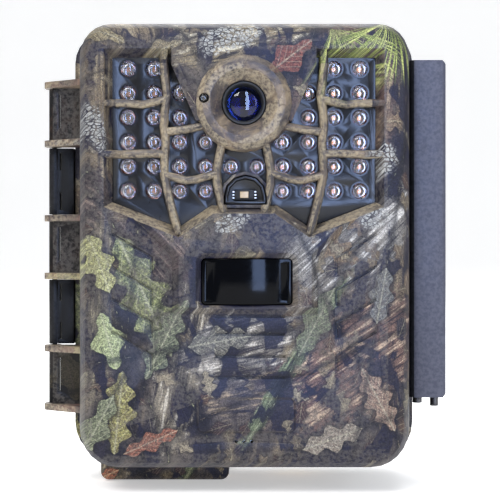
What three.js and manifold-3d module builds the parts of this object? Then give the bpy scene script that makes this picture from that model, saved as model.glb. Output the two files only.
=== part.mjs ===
// Trail camera: a clamshell housing with a hinged front half, a draw latch, a slide-out battery tray
// and the working parts inside. Millimetres, +Z up. The front half looks along -Y and the tree
// bracket's flat face lies on Y = 0, with the origin in the middle of that face.

import * as THREE from 'three';
import { mergeVertices } from 'three/addons/utils/BufferGeometryUtils.js';
import Module from 'manifold-3d';

const wasm = await Module();
wasm.setup();

// ---------------------------------------------------------------- driving dimensions

const GAP = 0.3; // clearance between neighbouring pieces
const ARC_STEPS = 3; // a quarter turn has twice this many sides

// Heights are measured from the underside of the two housing halves.
const BASE_Z = 0;
const TOP_Z = 139.1;
const TOP_RADIUS = 10.3;
const BOTTOM_RADIUS = 12.3;

const DOOR = { middle: -0.25, half: 51.65, wall: 2.4 };
const REAR = { middle: -0.55, half: 54.8, wall: 2.2 };

// Depths, from the tree (0) to the front (negative).
const REAR_BACK_Y = -5.8;
const RIM_Y = -45;
const LEDGE_Y = -42.6;
const DOOR_BACK_Y = RIM_Y - GAP;
const FACE_Y = -69;
const COLUMN_Y = -71.5;
const SURROUND_Y = -72;

const LENS = { x: -0.4, z: 113.5, surround: 15.2, bore: 8.6, barrel: 8.2, mouth: 7, nose: 6.7 };
const PANEL = { middle: -0.4, half: 40.6, top: 127.6, side: 83.2, low: 75.4, inner: 82.3, front: -64.4 };
const LED = { columns: 10, rows: 6, firstX: -36.4, pitchX: 8, topZ: 124.6, pitchZ: 7.62, radius: 2.5, sides: 6 };
const PIR = { x0: -13.3, x1: 14.3, z0: 51.4, z1: 65.3, corner: 1.1 };

const HINGE = { x: -62, y: -45.15, barrel: 1.8, pin: 0.8, bore: 1.15, tip: -64.8, plate: 2 };
const FLANGE_Z = [121.2, 102.4, 78.4, 59.8, 36.5, 17.7];

const LATCH = { bottom: 21.4, top: 128.4, ax: 56.9, ay: -36, bx: 61.3, by: -45, pinEnd: 17.6, headTop: 20.6 };

const TRAY = { x0: -46.8, x1: -6, y0: -40.3, y1: -8.6, top: 107.2, floor: 2.2, side: 2.6, middle: 4, cap: 6.9 };
const CELL = { radius: 7, length: 48.6, nub: 2.6, nubHeight: 1.2 };

const POCKET = { x0: -1.8, x1: 49.2, z0: 8, z1: 131, back: -8 };
const CONTROLS = { front: -39.9, back: -37.9, x: 23.7 };

const BRACKET = { half: 30, z0: 44, z1: 96, thickness: 5.5, slotX: 20.6, slotWidth: 4.8, strap: 27 };
const BRACKET_MIDDLE = (BRACKET.z0 + BRACKET.z1) / 2;
const BRACKET_SCREWS = [[-24, 50], [24, 50], [-24, 90], [24, 90]];
const TRIPOD = { x: 17, y: -24, flange: 6.2, flangeZ: -0.9 };
const JACK = { x: 35, y: -24 };
const LATCH_LUGS = [[36, 48], [101.8, 113.8]];

// ---------------------------------------------------------------- solids and booleans

/** Hands a closed geometry to the boolean library, with shared vertices merged. */
function toSolid(geometry) {
  const plain = new THREE.BufferGeometry();
  plain.setAttribute('position', geometry.getAttribute('position').clone());
  if (geometry.index) plain.setIndex(geometry.index.clone());
  const merged = mergeVertices(plain, 1e-4);
  const source = merged.index.array;
  const triangles = [];
  for (let i = 0; i < source.length; i += 3) {
    const [a, b, c] = [source[i], source[i + 1], source[i + 2]];
    if (a !== b && b !== c && c !== a) triangles.push(a, b, c);
  }
  const vertProperties = new Float32Array(merged.getAttribute('position').array);
  return new wasm.Manifold(
    new wasm.Mesh({ numProp: 3, vertProperties, triVerts: new Uint32Array(triangles) }),
  );
}

/** Turns a boolean result back into a geometry. */
function toGeometry(solid) {
  const mesh = solid.getMesh();
  const geometry = new THREE.BufferGeometry();
  geometry.setAttribute('position', new THREE.BufferAttribute(new Float32Array(mesh.vertProperties), 3));
  geometry.setIndex(new THREE.BufferAttribute(new Uint32Array(mesh.triVerts), 1));
  return geometry;
}

function joined(...pieces) {
  return toGeometry(pieces.flat().map(toSolid).reduce((sum, next) => sum.add(next)));
}

function cut(base, ...tools) {
  return toGeometry(tools.flat().map(toSolid).reduce((rest, tool) => rest.subtract(tool), toSolid(base)));
}

function common(first, second) {
  return toGeometry(toSolid(first).intersect(toSolid(second)));
}

// ---------------------------------------------------------------- shapes

/** A box between two corners. */
function block(x0, x1, y0, y1, z0, z1) {
  const geometry = new THREE.BoxGeometry(x1 - x0, y1 - y0, z1 - z0);
  return geometry.translate((x0 + x1) / 2, (y0 + y1) / 2, (z0 + z1) / 2);
}

/** A round rod along Y, at (x, z), between two depths; the radius at y1 may differ. */
function rodY(radius, y0, y1, x, z, sides = 16, radiusAtY1 = radius) {
  return new THREE.CylinderGeometry(radiusAtY1, radius, y1 - y0, sides).translate(x, (y0 + y1) / 2, z);
}

/** A round rod along Z, at (x, y), between two heights. */
function rodZ(radius, z0, z1, x, y, sides = 16, radiusAtZ1 = radius) {
  return new THREE.CylinderGeometry(radiusAtZ1, radius, z1 - z0, sides)
    .rotateX(Math.PI / 2)
    .translate(x, y, (z0 + z1) / 2);
}

/** An outline drawn in X and Z, carried from one depth to another. */
function slab(shape, y0, y1, curveSegments = ARC_STEPS) {
  return new THREE.ExtrudeGeometry(shape, { depth: y1 - y0, bevelEnabled: false, curveSegments })
    .rotateX(Math.PI / 2)
    .translate(0, y1, 0);
}

/** An outline drawn in X and Y, carried from one height to another. */
function column(shape, z0, z1, curveSegments = ARC_STEPS) {
  return new THREE.ExtrudeGeometry(shape, { depth: z1 - z0, bevelEnabled: false, curveSegments })
    .translate(0, 0, z0);
}

/**
 * A slab whose edge falls away over `depth` mm of Y and `inset` mm sideways, at both of its ends.
 * With offset 0 the outline is the small end and the slab grows by `inset`.
 */
function bevelled(shape, y0, y1, inset, depth, segments, offset = -inset) {
  return new THREE.ExtrudeGeometry(shape, {
    depth: y1 - y0 - 2 * depth,
    bevelEnabled: true,
    bevelSize: inset,
    bevelThickness: depth,
    bevelOffset: offset,
    bevelSegments: segments,
    curveSegments: ARC_STEPS,
  }).rotateX(Math.PI / 2).translate(0, y1 - depth, 0);
}

/** A profile of [radius, height] pairs turned about the Y axis and set at (x, z). */
function turnedY(profile, x, z, sides = 20) {
  const points = profile.map(([radius, height]) => new THREE.Vector2(radius, height));
  return outward(new THREE.LatheGeometry(points, sides).translate(x, 0, z));
}

/** A profile of [radius, height] pairs turned about the Z axis and set at (x, y). */
function turnedZ(profile, x, y, sides = 16) {
  const points = profile.map(([radius, height]) => new THREE.Vector2(radius, height));
  return outward(new THREE.LatheGeometry(points, sides).rotateX(Math.PI / 2).translate(x, y, 0));
}

/** Makes a closed geometry's faces point out, whichever way its profile was drawn. */
function outward(geometry) {
  const position = geometry.getAttribute('position');
  const index = geometry.index;
  const [a, b, c] = [new THREE.Vector3(), new THREE.Vector3(), new THREE.Vector3()];
  let volume = 0;
  for (let i = 0; i < index.count; i += 3) {
    a.fromBufferAttribute(position, index.getX(i));
    b.fromBufferAttribute(position, index.getX(i + 1));
    c.fromBufferAttribute(position, index.getX(i + 2));
    volume += a.dot(b.cross(c));
  }
  if (volume < 0) index.array.reverse();
  return geometry;
}

/** A rectangle with its own radius at the bottom and at the top corners. */
function roundedRect(x0, x1, y0, y1, bottom, top = bottom) {
  const shape = new THREE.Shape();
  shape.moveTo(x0 + bottom, y0);
  shape.lineTo(x1 - bottom, y0);
  shape.absarc(x1 - bottom, y0 + bottom, bottom, -Math.PI / 2, 0);
  shape.lineTo(x1, y1 - top);
  shape.absarc(x1 - top, y1 - top, top, 0, Math.PI / 2);
  shape.lineTo(x0 + top, y1);
  shape.absarc(x0 + top, y1 - top, top, Math.PI / 2, Math.PI);
  shape.lineTo(x0, y0 + bottom);
  shape.absarc(x0 + bottom, y0 + bottom, bottom, Math.PI, 1.5 * Math.PI);
  return shape;
}

function polygon(points) {
  return new THREE.Shape(points.map(([x, y]) => new THREE.Vector2(x, y)));
}

/** The outline of one housing half, drawn in by `inset`. */
function housingOutline(half, inset = 0) {
  return roundedRect(
    half.middle - half.half + inset,
    half.middle + half.half - inset,
    BASE_Z + inset,
    TOP_Z - inset,
    Math.max(BOTTOM_RADIUS - inset, 1),
    Math.max(TOP_RADIUS - inset, 1),
  );
}

/** The LED panel's outline, with its two dips; `grow` moves every side out. */
function panelOutline(grow = 0) {
  const m = PANEL.middle;
  const edge = PANEL.half + grow;
  const half = [
    [edge, PANEL.top + grow],
    [edge, PANEL.side - grow],
    [20.4, PANEL.low - grow],
    [10.3 + grow / 2, PANEL.inner - grow],
  ];
  const left = half.map(([x, z]) => [m - x, z]).reverse();
  return polygon([...half.map(([x, z]) => [m + x, z]), ...left]);
}

/** A branch: a rounded bar that follows a smooth line of [x, z] points at one depth. */
function branch(points, y, width, steps) {
  const line = new THREE.CatmullRomCurve3(points.map(([x, z]) => new THREE.Vector3(x, y, z)));
  const section = new THREE.Shape();
  section.absellipse(0, 0, 1.9, width / 2, 0, 2 * Math.PI);
  return new THREE.ExtrudeGeometry(section, { extrudePath: line, steps, curveSegments: 4 });
}

/** Where each LED stands. The middle of the panel is left clear for the lens. */
function ledPlaces() {
  const clear = { 0: [2, 7], 1: [3, 6], 2: [3, 6], 3: [4, 5], 5: [4, 5] };
  const places = [];
  for (let row = 0; row < LED.rows; row += 1) {
    for (let col = 0; col < LED.columns; col += 1) {
      const gapHere = clear[row];
      if (gapHere && col >= gapHere[0] && col <= gapHere[1]) continue;
      places.push([LED.firstX + col * LED.pitchX, LED.topZ - row * LED.pitchZ]);
    }
  }
  return places;
}

// ---------------------------------------------------------------- assembly helpers

const camera = new THREE.Group();
camera.position.set(0, 0, -BRACKET_MIDDLE);

/** Adds a named piece with its own material to a group. */
function add(group, name, geometry, color, roughness = 0.6, metalness = 0) {
  const material = new THREE.MeshStandardMaterial({ color, roughness, metalness });
  const mesh = new THREE.Mesh(geometry, material);
  mesh.name = name;
  group.add(mesh);
  return mesh;
}

function subGroup() {
  const group = new THREE.Group();
  camera.add(group);
  return group;
}

const CAMO = 0x6b6350;
const BLACK = 0x16171c;
const BOARD = 0x1f5b3a;
const STEEL = 0xb9bcc2;
const GUNMETAL = 0x5b5d6c;

// ---------------------------------------------------------------- rear half

const rear = subGroup();

function rearShell() {
  const y1 = REAR_BACK_Y;
  const crowned = cut(
    bevelled(housingOutline(REAR), RIM_Y - 12, y1, 4, 5, 2),
    block(-90, 90, RIM_Y - 30, RIM_Y, -20, 160),
  );
  const rim = slab(housingOutline(REAR, REAR.wall), RIM_Y - 1, LEDGE_Y);
  const pocket = slab(
    roundedRect(POCKET.x0, POCKET.x1, POCKET.z0, POCKET.z1, 8, 5), LEDGE_Y - 1, POCKET.back,
  );
  const bay = block(TRAY.x0 - GAP, TRAY.x1 + GAP, TRAY.y0 - GAP, TRAY.y1 + GAP, -20, TOP_Z - 7);
  const cableWay = block(TRAY.x1 - 6, POCKET.x0 + 1, -30, -22, TRAY.top + 8, TRAY.top + 14);
  const insertBore = rodZ(4.6, -1, 10, TRIPOD.x, TRIPOD.y, 16);
  const jackBore = rodZ(4.3, -1, 10, JACK.x, JACK.y, 16);
  const lugs = [];
  for (const [z0, z1] of LATCH_LUGS) {
    const arm = block(50, LATCH.ax, LATCH.ay - 2.2, LATCH.ay + 2.2, z0, z1);
    lugs.push(arm, rodZ(2.2, z0, z1, LATCH.ax, LATCH.ay));
  }
  const pinBore = rodZ(1.45, LATCH.pinEnd - 5, LATCH.top + 20, LATCH.ax, LATCH.ay, 12);
  const bracketHoles = BRACKET_SCREWS.map(([x, z]) => rodY(1.6, -12, 0, x, z, 10));
  const shell = cut(crowned, rim, pocket, bay, cableWay, insertBore, jackBore, bracketHoles);
  return cut(joined(shell, lugs), pinBore);
}

add(rear, 'rear_shell', rearShell(), CAMO, 0.55);

/** A black knuckle on the rear half: a barrel for the pin and a web, slit towards each end. */
function rearKnuckle(z0, z1) {
  const wallX = REAR.middle - REAR.half - GAP;
  const slit = (z1 - z0) * 0.33;
  const web = block(HINGE.x, wallX, HINGE.y + 0.4, HINGE.y + 6.5, z0, z1);
  const barrel = rodZ(HINGE.barrel, z0, z1, HINGE.x, HINGE.y);
  const front = block(HINGE.x, wallX, HINGE.y - 1.2, HINGE.y + 1.5, z0, z1);
  const slits = [[z0 + 1.5, z0 + slit], [z1 - slit, z1 - 1.5]].map(
    ([a, b]) => block(HINGE.x + HINGE.barrel, HINGE.x + HINGE.barrel + 0.6, -60, -30, a, b),
  );
  const bore = rodZ(HINGE.bore, z0 - 1, z1 + 1, HINGE.x, HINGE.y, 12);
  return cut(joined(web, barrel, front), slits, bore);
}

const HALF_PLATE = HINGE.plate / 2;
add(rear, 'rear_knuckle_upper',
  rearKnuckle(FLANGE_Z[2] + HALF_PLATE + GAP, FLANGE_Z[1] - HALF_PLATE - GAP), BLACK, 0.5);
add(rear, 'rear_knuckle_lower',
  rearKnuckle(FLANGE_Z[4] + HALF_PLATE + GAP, FLANGE_Z[3] - HALF_PLATE - GAP), BLACK, 0.5);
add(rear, 'hinge_pin',
  rodZ(HINGE.pin, FLANGE_Z[5] - 0.8, FLANGE_Z[0] + 0.8, HINGE.x, HINGE.y, 12), STEEL, 0.3, 1);

/** The seal between the halves: a ring that lies on the ledge inside the rear rim. */
function gasket() {
  const inset = REAR.wall + GAP;
  const ring = slab(housingOutline(REAR, inset), RIM_Y + 0.2, LEDGE_Y - GAP);
  return cut(ring, slab(housingOutline(REAR, inset + 1.7), RIM_Y - 1, LEDGE_Y + 1));
}
add(rear, 'door_gasket', gasket(), 0x202024, 0.85);

/**
 * Bracket that bears on the tree: a flat pad with toothed edges and an upright slot at each side.
 * The strap goes in by one slot, across the channel in front of the pad, and out by the other.
 */
function treeBracket() {
  const { half, z0, z1, thickness, slotX, slotWidth, strap } = BRACKET;
  const plate = slab(roundedRect(-half, half, z0, z1, 4), -thickness, 0);
  const low = BRACKET_MIDDLE - strap / 2;
  const high = BRACKET_MIDDLE + strap / 2;
  const outer = slotX + slotWidth;
  const slots = [block(-outer, -slotX, -thickness - 1, 1, low, high)];
  slots.push(block(slotX, outer, -thickness - 1, 1, low, high));
  const channel = block(-outer, outer, -thickness - 1, -2.9, low, high);
  const notches = [];
  for (let step = 0; step < 4; step += 1) {
    const z = z0 + 8 + step * 12;
    for (const side of [-1, 1]) {
      const notch = polygon([[side * (half + 1), 1], [side * (half + 1), -2.5], [side * (half - 2), 1]]);
      notches.push(column(notch, z - 1.8, z + 1.8));
    }
  }
  const holes = BRACKET_SCREWS.flatMap(([x, z]) => [
    rodY(1.7, -thickness - 1, 1, x, z, 8), rodY(3.4, -2.6, 1, x, z, 12),
  ]);
  return cut(plate, slots, channel, notches, holes);
}
add(rear, 'tree_bracket', treeBracket(), 0x24252a, 0.6);

/** A pan-head screw along Y, with a cross in its head, which lies on the `way` side of its seat. */
function screwY(x, z, seat, way, headRadius, headHeight, shankRadius, length) {
  const head = [seat, seat + way * headHeight].sort((a, b) => a - b);
  const shank = [seat + way * 0.2, seat - way * length].sort((a, b) => a - b);
  const cross = seat + way * (headHeight - 0.7);
  const end = seat + way * (headHeight + 1);
  const [c0, c1] = [cross, end].sort((a, b) => a - b);
  const body = joined(
    rodY(headRadius, head[0], head[1], x, z, 12), rodY(shankRadius, shank[0], shank[1], x, z, 6),
  );
  return cut(
    body, block(x - 1.3, x + 1.3, c0, c1, z - 0.3, z + 0.3), block(x - 0.3, x + 0.3, c0, c1, z - 1.3, z + 1.3),
  );
}

BRACKET_SCREWS.forEach(([x, z], i) => {
  add(rear, `bracket_screw_${i + 1}`, screwY(x, z, -2.3, 1, 3, 1.5, 1.2, 5.4), STEEL, 0.35, 1);
});

/** Threaded brass insert in the underside, shown with a plain bore; its flange stands proud. */
const tripodInsert = cut(
  joined(
    rodZ(4.2, -0.6, 9.6, TRIPOD.x, TRIPOD.y),
    rodZ(TRIPOD.flange, TRIPOD.flangeZ, -GAP, TRIPOD.x, TRIPOD.y, 24),
  ),
  rodZ(2.6, -1, 8, TRIPOD.x, TRIPOD.y, 14),
);
add(rear, 'tripod_insert', tripodInsert, 0xb08d3c, 0.35, 1);

const dcJack = joined(
  cut(rodZ(4, 2.6, 9.6, JACK.x, JACK.y, 14), rodZ(2.8, 1, 9, JACK.x, JACK.y, 14)),
  rodZ(0.8, 4.2, 9.2, JACK.x, JACK.y, 8),
);
add(rear, 'power_jack', dcJack, BLACK, 0.5);

/** Board at the top of the battery bay, with the two contacts that the tray meets. */
const terminalBoard = joined(
  block(TRAY.x0 + 1, TRAY.x1 - 1, TRAY.y0 + 1, TRAY.y1 - 1, TRAY.top + 4, TRAY.top + 5.6),
  block(-36, -32, -27, -22, TRAY.top + 1, TRAY.top + 4.5),
  block(-21, -17, -27, -22, TRAY.top + 1, TRAY.top + 4.5),
);
add(rear, 'terminal_board', terminalBoard, BOARD, 0.5);

/** Main board, with a few of its larger components. */
const mainBoard = joined(
  block(POCKET.x0 + 1.5, POCKET.x1 - 1.5, -15.6, -14, 36, POCKET.z1 - 3),
  block(14, 30, -17.4, -15.4, 72, 88),
  block(5, 13, -17, -15.4, 96, 104),
  block(30, 44, -18, -15.4, 100, 112),
  rodY(3, -25, -15.4, 41, 58, 12),
  rodY(3, -25, -15.4, 8, 58, 12),
);
add(rear, 'main_board', mainBoard, BOARD, 0.5);

const LCD = { x0: 9, x1: 38.4, z0: 97, z1: 119 };
const KEYS = {
  key_ok: [CONTROLS.x, 70, 3.6],
  key_up: [CONTROLS.x, 81, 3],
  key_down: [CONTROLS.x, 59, 3],
  key_left: [CONTROLS.x - 11, 70, 3],
  key_right: [CONTROLS.x + 11, 70, 3],
};
const SWITCH = { z: 44, travel: 6 };
const CARD = { x0: 11.7, x1: 35.7, z: 26, thickness: 2.1 };

/** The panel inside the rear half that carries the screen, the keys, the switch and the card slot. */
function controlPanel() {
  const { front, back } = CONTROLS;
  const inset = GAP;
  const plate = slab(
    roundedRect(POCKET.x0 + inset, POCKET.x1 - inset, POCKET.z0 + inset, POCKET.z1 - inset, 7.7, 4.7),
    front, back,
  );
  const screen = slab(roundedRect(LCD.x0, LCD.x1, LCD.z0, LCD.z1, 1), front - 1, back + 1);
  const keyHoles = Object.values(KEYS).map(([x, z, r]) => rodY(r + 0.35, front - 1, back + 1, x, z, 12));
  const slot = block(CONTROLS.x - 6.5, CONTROLS.x + 6.5, front - 1, back + 1, SWITCH.z - 1.9, SWITCH.z + 1.9);
  const card = block(CARD.x0 - 1, CARD.x1 + 1, front - 1, back + 1, CARD.z - 1.4, CARD.z + 1.4);
  return cut(plate, screen, keyHoles, slot, card);
}
add(rear, 'control_panel', controlPanel(), 0x2a2c31, 0.6);

add(rear, 'lcd_window',
  slab(roundedRect(LCD.x0 + GAP, LCD.x1 - GAP, LCD.z0 + GAP, LCD.z1 - GAP, 0.8), -39.7, -38.4),
  0x9fb0a0, 0.1);
add(rear, 'lcd_module', joined(
  block(LCD.x0 - 1.5, LCD.x1 + 1.5, -37.6, -34.6, LCD.z0 - 1.5, LCD.z1 + 1.5),
  block(LCD.x0 + 1, LCD.x1 - 1, -38.1, -37.4, LCD.z0 + 1, LCD.z1 - 1),
), 0x3b4438, 0.4);

/** Push-push card socket: a sleeve open at the front. */
const sdSocket = cut(
  block(CARD.x0 - 2.5, CARD.x1 + 2.5, -37.5, -16, CARD.z - 3, CARD.z + 3),
  block(CARD.x0 - 0.5, CARD.x1 + 0.5, -39, -17.5, CARD.z - 1.4, CARD.z + 1.4),
);
add(rear, 'card_socket', sdSocket, STEEL, 0.35, 1);

// ---------------------------------------------------------------- pieces that move in the rear half

const moving = subGroup();

/** A key: a domed cap with a collar behind the panel that keeps it in. */
function key(x, z, radius) {
  return turnedY([
    [0, -42.1], [radius * 0.7, -41.9], [radius, -41.3], [radius, -37.4],
    [radius + 0.9, -37.4], [radius + 0.9, -36.2], [0, -36.2],
  ], x, z, 12);
}
for (const [name, [x, z, radius]] of Object.entries(KEYS)) {
  add(moving, name, key(x, z, radius), 0x3a3d45, 0.7);
}

const switchX = CONTROLS.x - SWITCH.travel / 2;
add(moving, 'power_switch', joined(
  block(switchX - 3, switchX + 3, -42, -37.2, SWITCH.z - 1.5, SWITCH.z + 1.5),
  block(switchX - 4, switchX + 4, -37.4, -36, SWITCH.z - 3.4, SWITCH.z + 3.4),
), 0x9a9ca3, 0.5);

const cardOutline = polygon([
  [CARD.x0, -41.4], [CARD.x0, -19], [CARD.x0 + 3, -18], [CARD.x1, -18], [CARD.x1, -41.4],
]);
add(moving, 'memory_card',
  column(cardOutline, CARD.z - CARD.thickness / 2, CARD.z + CARD.thickness / 2), 0x23304d, 0.45);

/** Rubber plug of the power jack, with a grip lip under it. */
const plug = joined(
  rodZ(3.95, -0.4, 2.1, JACK.x, JACK.y),
  rodZ(2.4, 2, 3.8, JACK.x, JACK.y),
  slab(roundedRect(JACK.x - 6, JACK.x + 6, -1.5, -GAP, 0.5), JACK.y - 5, JACK.y + 5),
);
add(moving, 'jack_plug', plug, 0x222326, 0.9);

// ---------------------------------------------------------------- battery tray

const tray = subGroup();

const CELL_SEAT = 4.6;
const CELL_ROWS = [CELL_SEAT, CELL_SEAT + CELL.length + CELL.nubHeight + 0.8];
const CELL_YS = [TRAY.y0 + 1.5 + CELL.radius, TRAY.y1 - 1.5 - CELL.radius];
const TRAY_MIDDLE = (TRAY.x0 + TRAY.x1) / 2;
const BAYS = [
  [TRAY.x0 + TRAY.side, TRAY_MIDDLE - TRAY.middle / 2],
  [TRAY_MIDDLE + TRAY.middle / 2, TRAY.x1 - TRAY.side],
];

/** The tray: a frame with two tall bays for cells, and a grip cap that closes the underside. */
function batteryTray() {
  const { x0, x1, y0, y1, top, floor, cap } = TRAY;
  const frame = block(x0, x1, y0, y1, -1, top);
  const pockets = BAYS.map(([a, b]) => block(a, b, y0 - 1, y1 + 1, floor, top - 1.6));
  pockets.push(block(BAYS[0][0], BAYS[1][1], CELL_YS[0] - 6, CELL_YS[1] + 6, floor, floor + 1.4));
  const grip = bevelled(
    roundedRect(x0 - 0.7, x1 + 0.6, -cap - GAP, -GAP, 2.6, 1.3), y0 - 1.2, y1 + 1.2, 1, 1, 2,
  );
  return joined(cut(frame, pockets), grip);
}
add(tray, 'battery_tray', batteryTray(), CAMO, 0.55);

/** A contact plate across the tray's floor, with a tapered spring form under each lower cell. */
function trayContacts() {
  const plate = block(
    BAYS[0][0] + 2, BAYS[1][1] - 2, CELL_YS[0] - 5, CELL_YS[1] + 5, TRAY.floor + GAP, TRAY.floor + 0.8,
  );
  const springs = BAYS.flatMap(([a, b]) => CELL_YS.map(
    (y) => rodZ(3.6, TRAY.floor + 0.6, CELL_SEAT - GAP, (a + b) / 2, y, 12, 2),
  ));
  return joined(plate, springs);
}
add(tray, 'tray_contacts', trayContacts(), STEEL, 0.3, 1);

/** An AA cell: a can with a crimped foot and a nub on top. */
function cell(x, y, z) {
  const r = CELL.radius;
  const shoulder = z + CELL.length;
  return turnedZ([
    [0, z], [r, z], [r, shoulder],
    [CELL.nub, shoulder], [CELL.nub, shoulder + CELL.nubHeight], [0, shoulder + CELL.nubHeight],
  ], x, y, 12);
}
let cellNumber = 0;
for (const z of CELL_ROWS) {
  for (const y of CELL_YS) {
    for (const [a, b] of BAYS) {
      cellNumber += 1;
      add(tray, `battery_${cellNumber}`, cell((a + b) / 2, y, z), 0x2c3a55, 0.35, 0.4);
    }
  }
}

// ---------------------------------------------------------------- front half

const door = subGroup();

/** The branch ribs across the LED panel: left-hand lines, mirrored for the right. */
const BRANCH_Y = -67.3;
const BRANCHES = [
  { width: 2.7, steps: 12, line: [[-24.8, 130.6], [-25.2, 123.7], [-24.1, 116.9], [-25.2, 107.9],
    [-24.5, 100.2], [-25.2, 93.4], [-23.9, 86], [-20.6, 72.8]] },
  { width: 2.5, steps: 5, line: [[-44, 113.5], [-36.2, 113.5], [-31.5, 113.1], [-27, 114.1], [-24, 114.9]] },
  { width: 2.6, steps: 3, line: [[-44, 97.9], [-37, 97.6], [-31, 98], [-24.4, 97.9]] },
  { width: 2.6, steps: 2, line: [[-24.1, 104.7], [-19, 105.3], [-13, 106.5]] },
  { width: 2.5, steps: 5, line: [[-24.6, 91.3], [-17.3, 89.6], [-13, 90.6], [-8.8, 91.9]] },
  { width: 2.7, steps: 5, line: [[-7, 102], [-8.6, 94], [-8.9, 90.5], [-6.6, 79.6]] },
];

function branches() {
  const all = [];
  for (const { line, width, steps } of BRANCHES) {
    all.push(branch(line, BRANCH_Y, width, steps));
    const mirrored = line.map(([x, z]) => [2 * LENS.x - x, z]).reverse();
    all.push(branch(mirrored, BRANCH_Y, width, steps));
  }
  return all;
}

/** Three hinge knuckles with a plate at each end, slit beside the barrel. */
function doorKnuckles() {
  const pieces = [];
  const slits = [];
  for (let i = 0; i < 3; i += 1) {
    const top = FLANGE_Z[2 * i];
    const bottom = FLANGE_Z[2 * i + 1];
    const wallX = DOOR.middle - DOOR.half + 2;
    pieces.push(rodZ(HINGE.barrel, bottom, top, HINGE.x, HINGE.y));
    pieces.push(block(HINGE.x, wallX, -49.6, DOOR_BACK_Y, bottom, top));
    for (const z of [bottom, top]) {
      const outline = polygon([
        [wallX, -61], [DOOR.middle - DOOR.half - 1, -58], [HINGE.tip + 1, -50], [HINGE.tip, -48.5],
        [HINGE.tip, -44.6], [HINGE.tip + 1, -43.3], [HINGE.x + 1.6, -43.3], [HINGE.x + 2.4, DOOR_BACK_Y],
        [wallX, DOOR_BACK_Y],
      ]);
      pieces.push(column(outline, z - HALF_PLATE, z + HALF_PLATE));
    }
    slits.push(block(HINGE.x + 1.9, HINGE.x + 2.5, -60, -40, bottom + 5, top - 3));
  }
  return { pieces, slits };
}

/** Grooves moulded into the lower face: four short level ones and a chevron at each side. */
function faceGrooves() {
  const tools = [47.2, 41.7, 34.9, 28.4].map((z) => block(-9.3, 12.2, FACE_Y - 3, FACE_Y + 0.8, z, z + 1));
  for (const z of [61, 51, 41, 31]) {
    for (const side of [-1, 1]) {
      const at = (x) => LENS.x + side * x;
      const line = polygon([
        [at(28), z], [at(29), z], [at(29), z + 4.6], [at(41), z + 11.6], [at(40.5), z + 12.5],
        [at(28), z + 5.2],
      ]);
      tools.push(slab(line, FACE_Y - 1, FACE_Y + 0.8));
    }
  }
  return tools;
}

const COVER_SCREWS = [[-44.6, 9.8], [44.1, 9.8], [-44.6, 127.5], [44.1, 127.5]];
const INDICATOR = { x: -12.6, z: 114.7 };
const LIGHT_SENSOR = { x: 0, z0: 82.4, z1: 91.2, radius: 6.4 };

function frontShell() {
  const shell = cut(
    bevelled(housingOutline(DOOR), FACE_Y, DOOR_BACK_Y + 12, 5, 8, 3),
    block(-90, 90, DOOR_BACK_Y, DOOR_BACK_Y + 30, -20, 160),
  );
  const raisedColumn = bevelled(polygon([
    [-22.4, 48.6], [22.4, 48.6], [22.4, 66], [33.4, 77], [42, 84], [42, 92],
    [-42, 92], [-42, 84], [-33.4, 77], [-22.4, 66],
  ]), COLUMN_Y, FACE_Y + 6, 2, 2, 1);
  const pad = bevelled(roundedRect(-15, 15.6, 11.8, 22.8, 2), FACE_Y - 0.8, FACE_Y + 4, 0.7, 0.8, 1);
  const outer = joined(shell, raisedColumn, pad);
  const deepCavity = slab(housingOutline(DOOR, 5.4), -66.2, DOOR_BACK_Y + 1);
  const panelKeep = block(-60, 60, -70, -64.6 - GAP, 74, 150);
  const mainCavity = slab(housingOutline(DOOR, DOOR.wall), -60.5, DOOR_BACK_Y + 1);
  const cavity = joined(cut(deepCavity, panelKeep), mainCavity);
  const recess = slab(panelOutline(), PANEL.front - 0.5, -60);
  const flare = bevelled(panelOutline(), -90, PANEL.front, 3, 5.2, 1, 0);
  const hood = slab(pirOutline(GAP), -80, -60);
  const hoodFlare = bevelled(pirOutline(GAP), -90, COLUMN_Y + 1.6, 2.2, 2.2, 1, 0);
  const hollow = cut(outer, cavity, flare, recess, hood, hoodFlare, faceGrooves());

  const ears = slab(polygon([
    [LENS.x - 22.3, 131], [LENS.x - 22.3, 125.2], [LENS.x - 14.8, 108], [LENS.x + 14.8, 108],
    [LENS.x + 22.3, 125.2], [LENS.x + 22.3, 131],
  ]), -69.5, -65);
  const { surround } = LENS;
  const ring = turnedY([
    [0, -64.8], [surround - 1.2, -64.8], [surround, -67.5], [surround - 0.6, -70.4],
    [surround - 2.4, SURROUND_Y], [0, SURROUND_Y],
  ], LENS.x, LENS.z, 24);
  const shade = slab(lightSensorOutline(1.2), -67.4, -64.8);
  const bosses = COVER_SCREWS.map(([x, z]) => rodY(3, -61.5, -48.3, x, z, 12));
  const knuckles = doorKnuckles();
  const body = joined(hollow, ears, ring, shade, branches(), bosses, knuckles.pieces);

  const lensHole = turnedY([
    [0, -60], [LENS.bore, -60], [LENS.bore, -66.6], [LENS.mouth, -66.6], [LENS.mouth, -68.6],
    [11.4, -73], [0, -73],
  ], LENS.x, LENS.z, 24);
  const micHoles = [-2.8, -0.4, 2].map((x) => rodY(0.5, -72, -60, x, 9.2, 8));
  const screwHoles = COVER_SCREWS.map(([x, z]) => rodY(1.6, -58, -47, x, z, 8));
  return cut(
    body,
    lensHole,
    rodY(1.6, -75, -60, INDICATOR.x, INDICATOR.z, 12),
    slab(lightSensorOutline(GAP), -75, -60),
    micHoles,
    screwHoles,
    knuckles.slits,
    rodZ(HINGE.bore, FLANGE_Z[5] - 3, FLANGE_Z[0] + 3, HINGE.x, HINGE.y, 12),
  );
}

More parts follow.
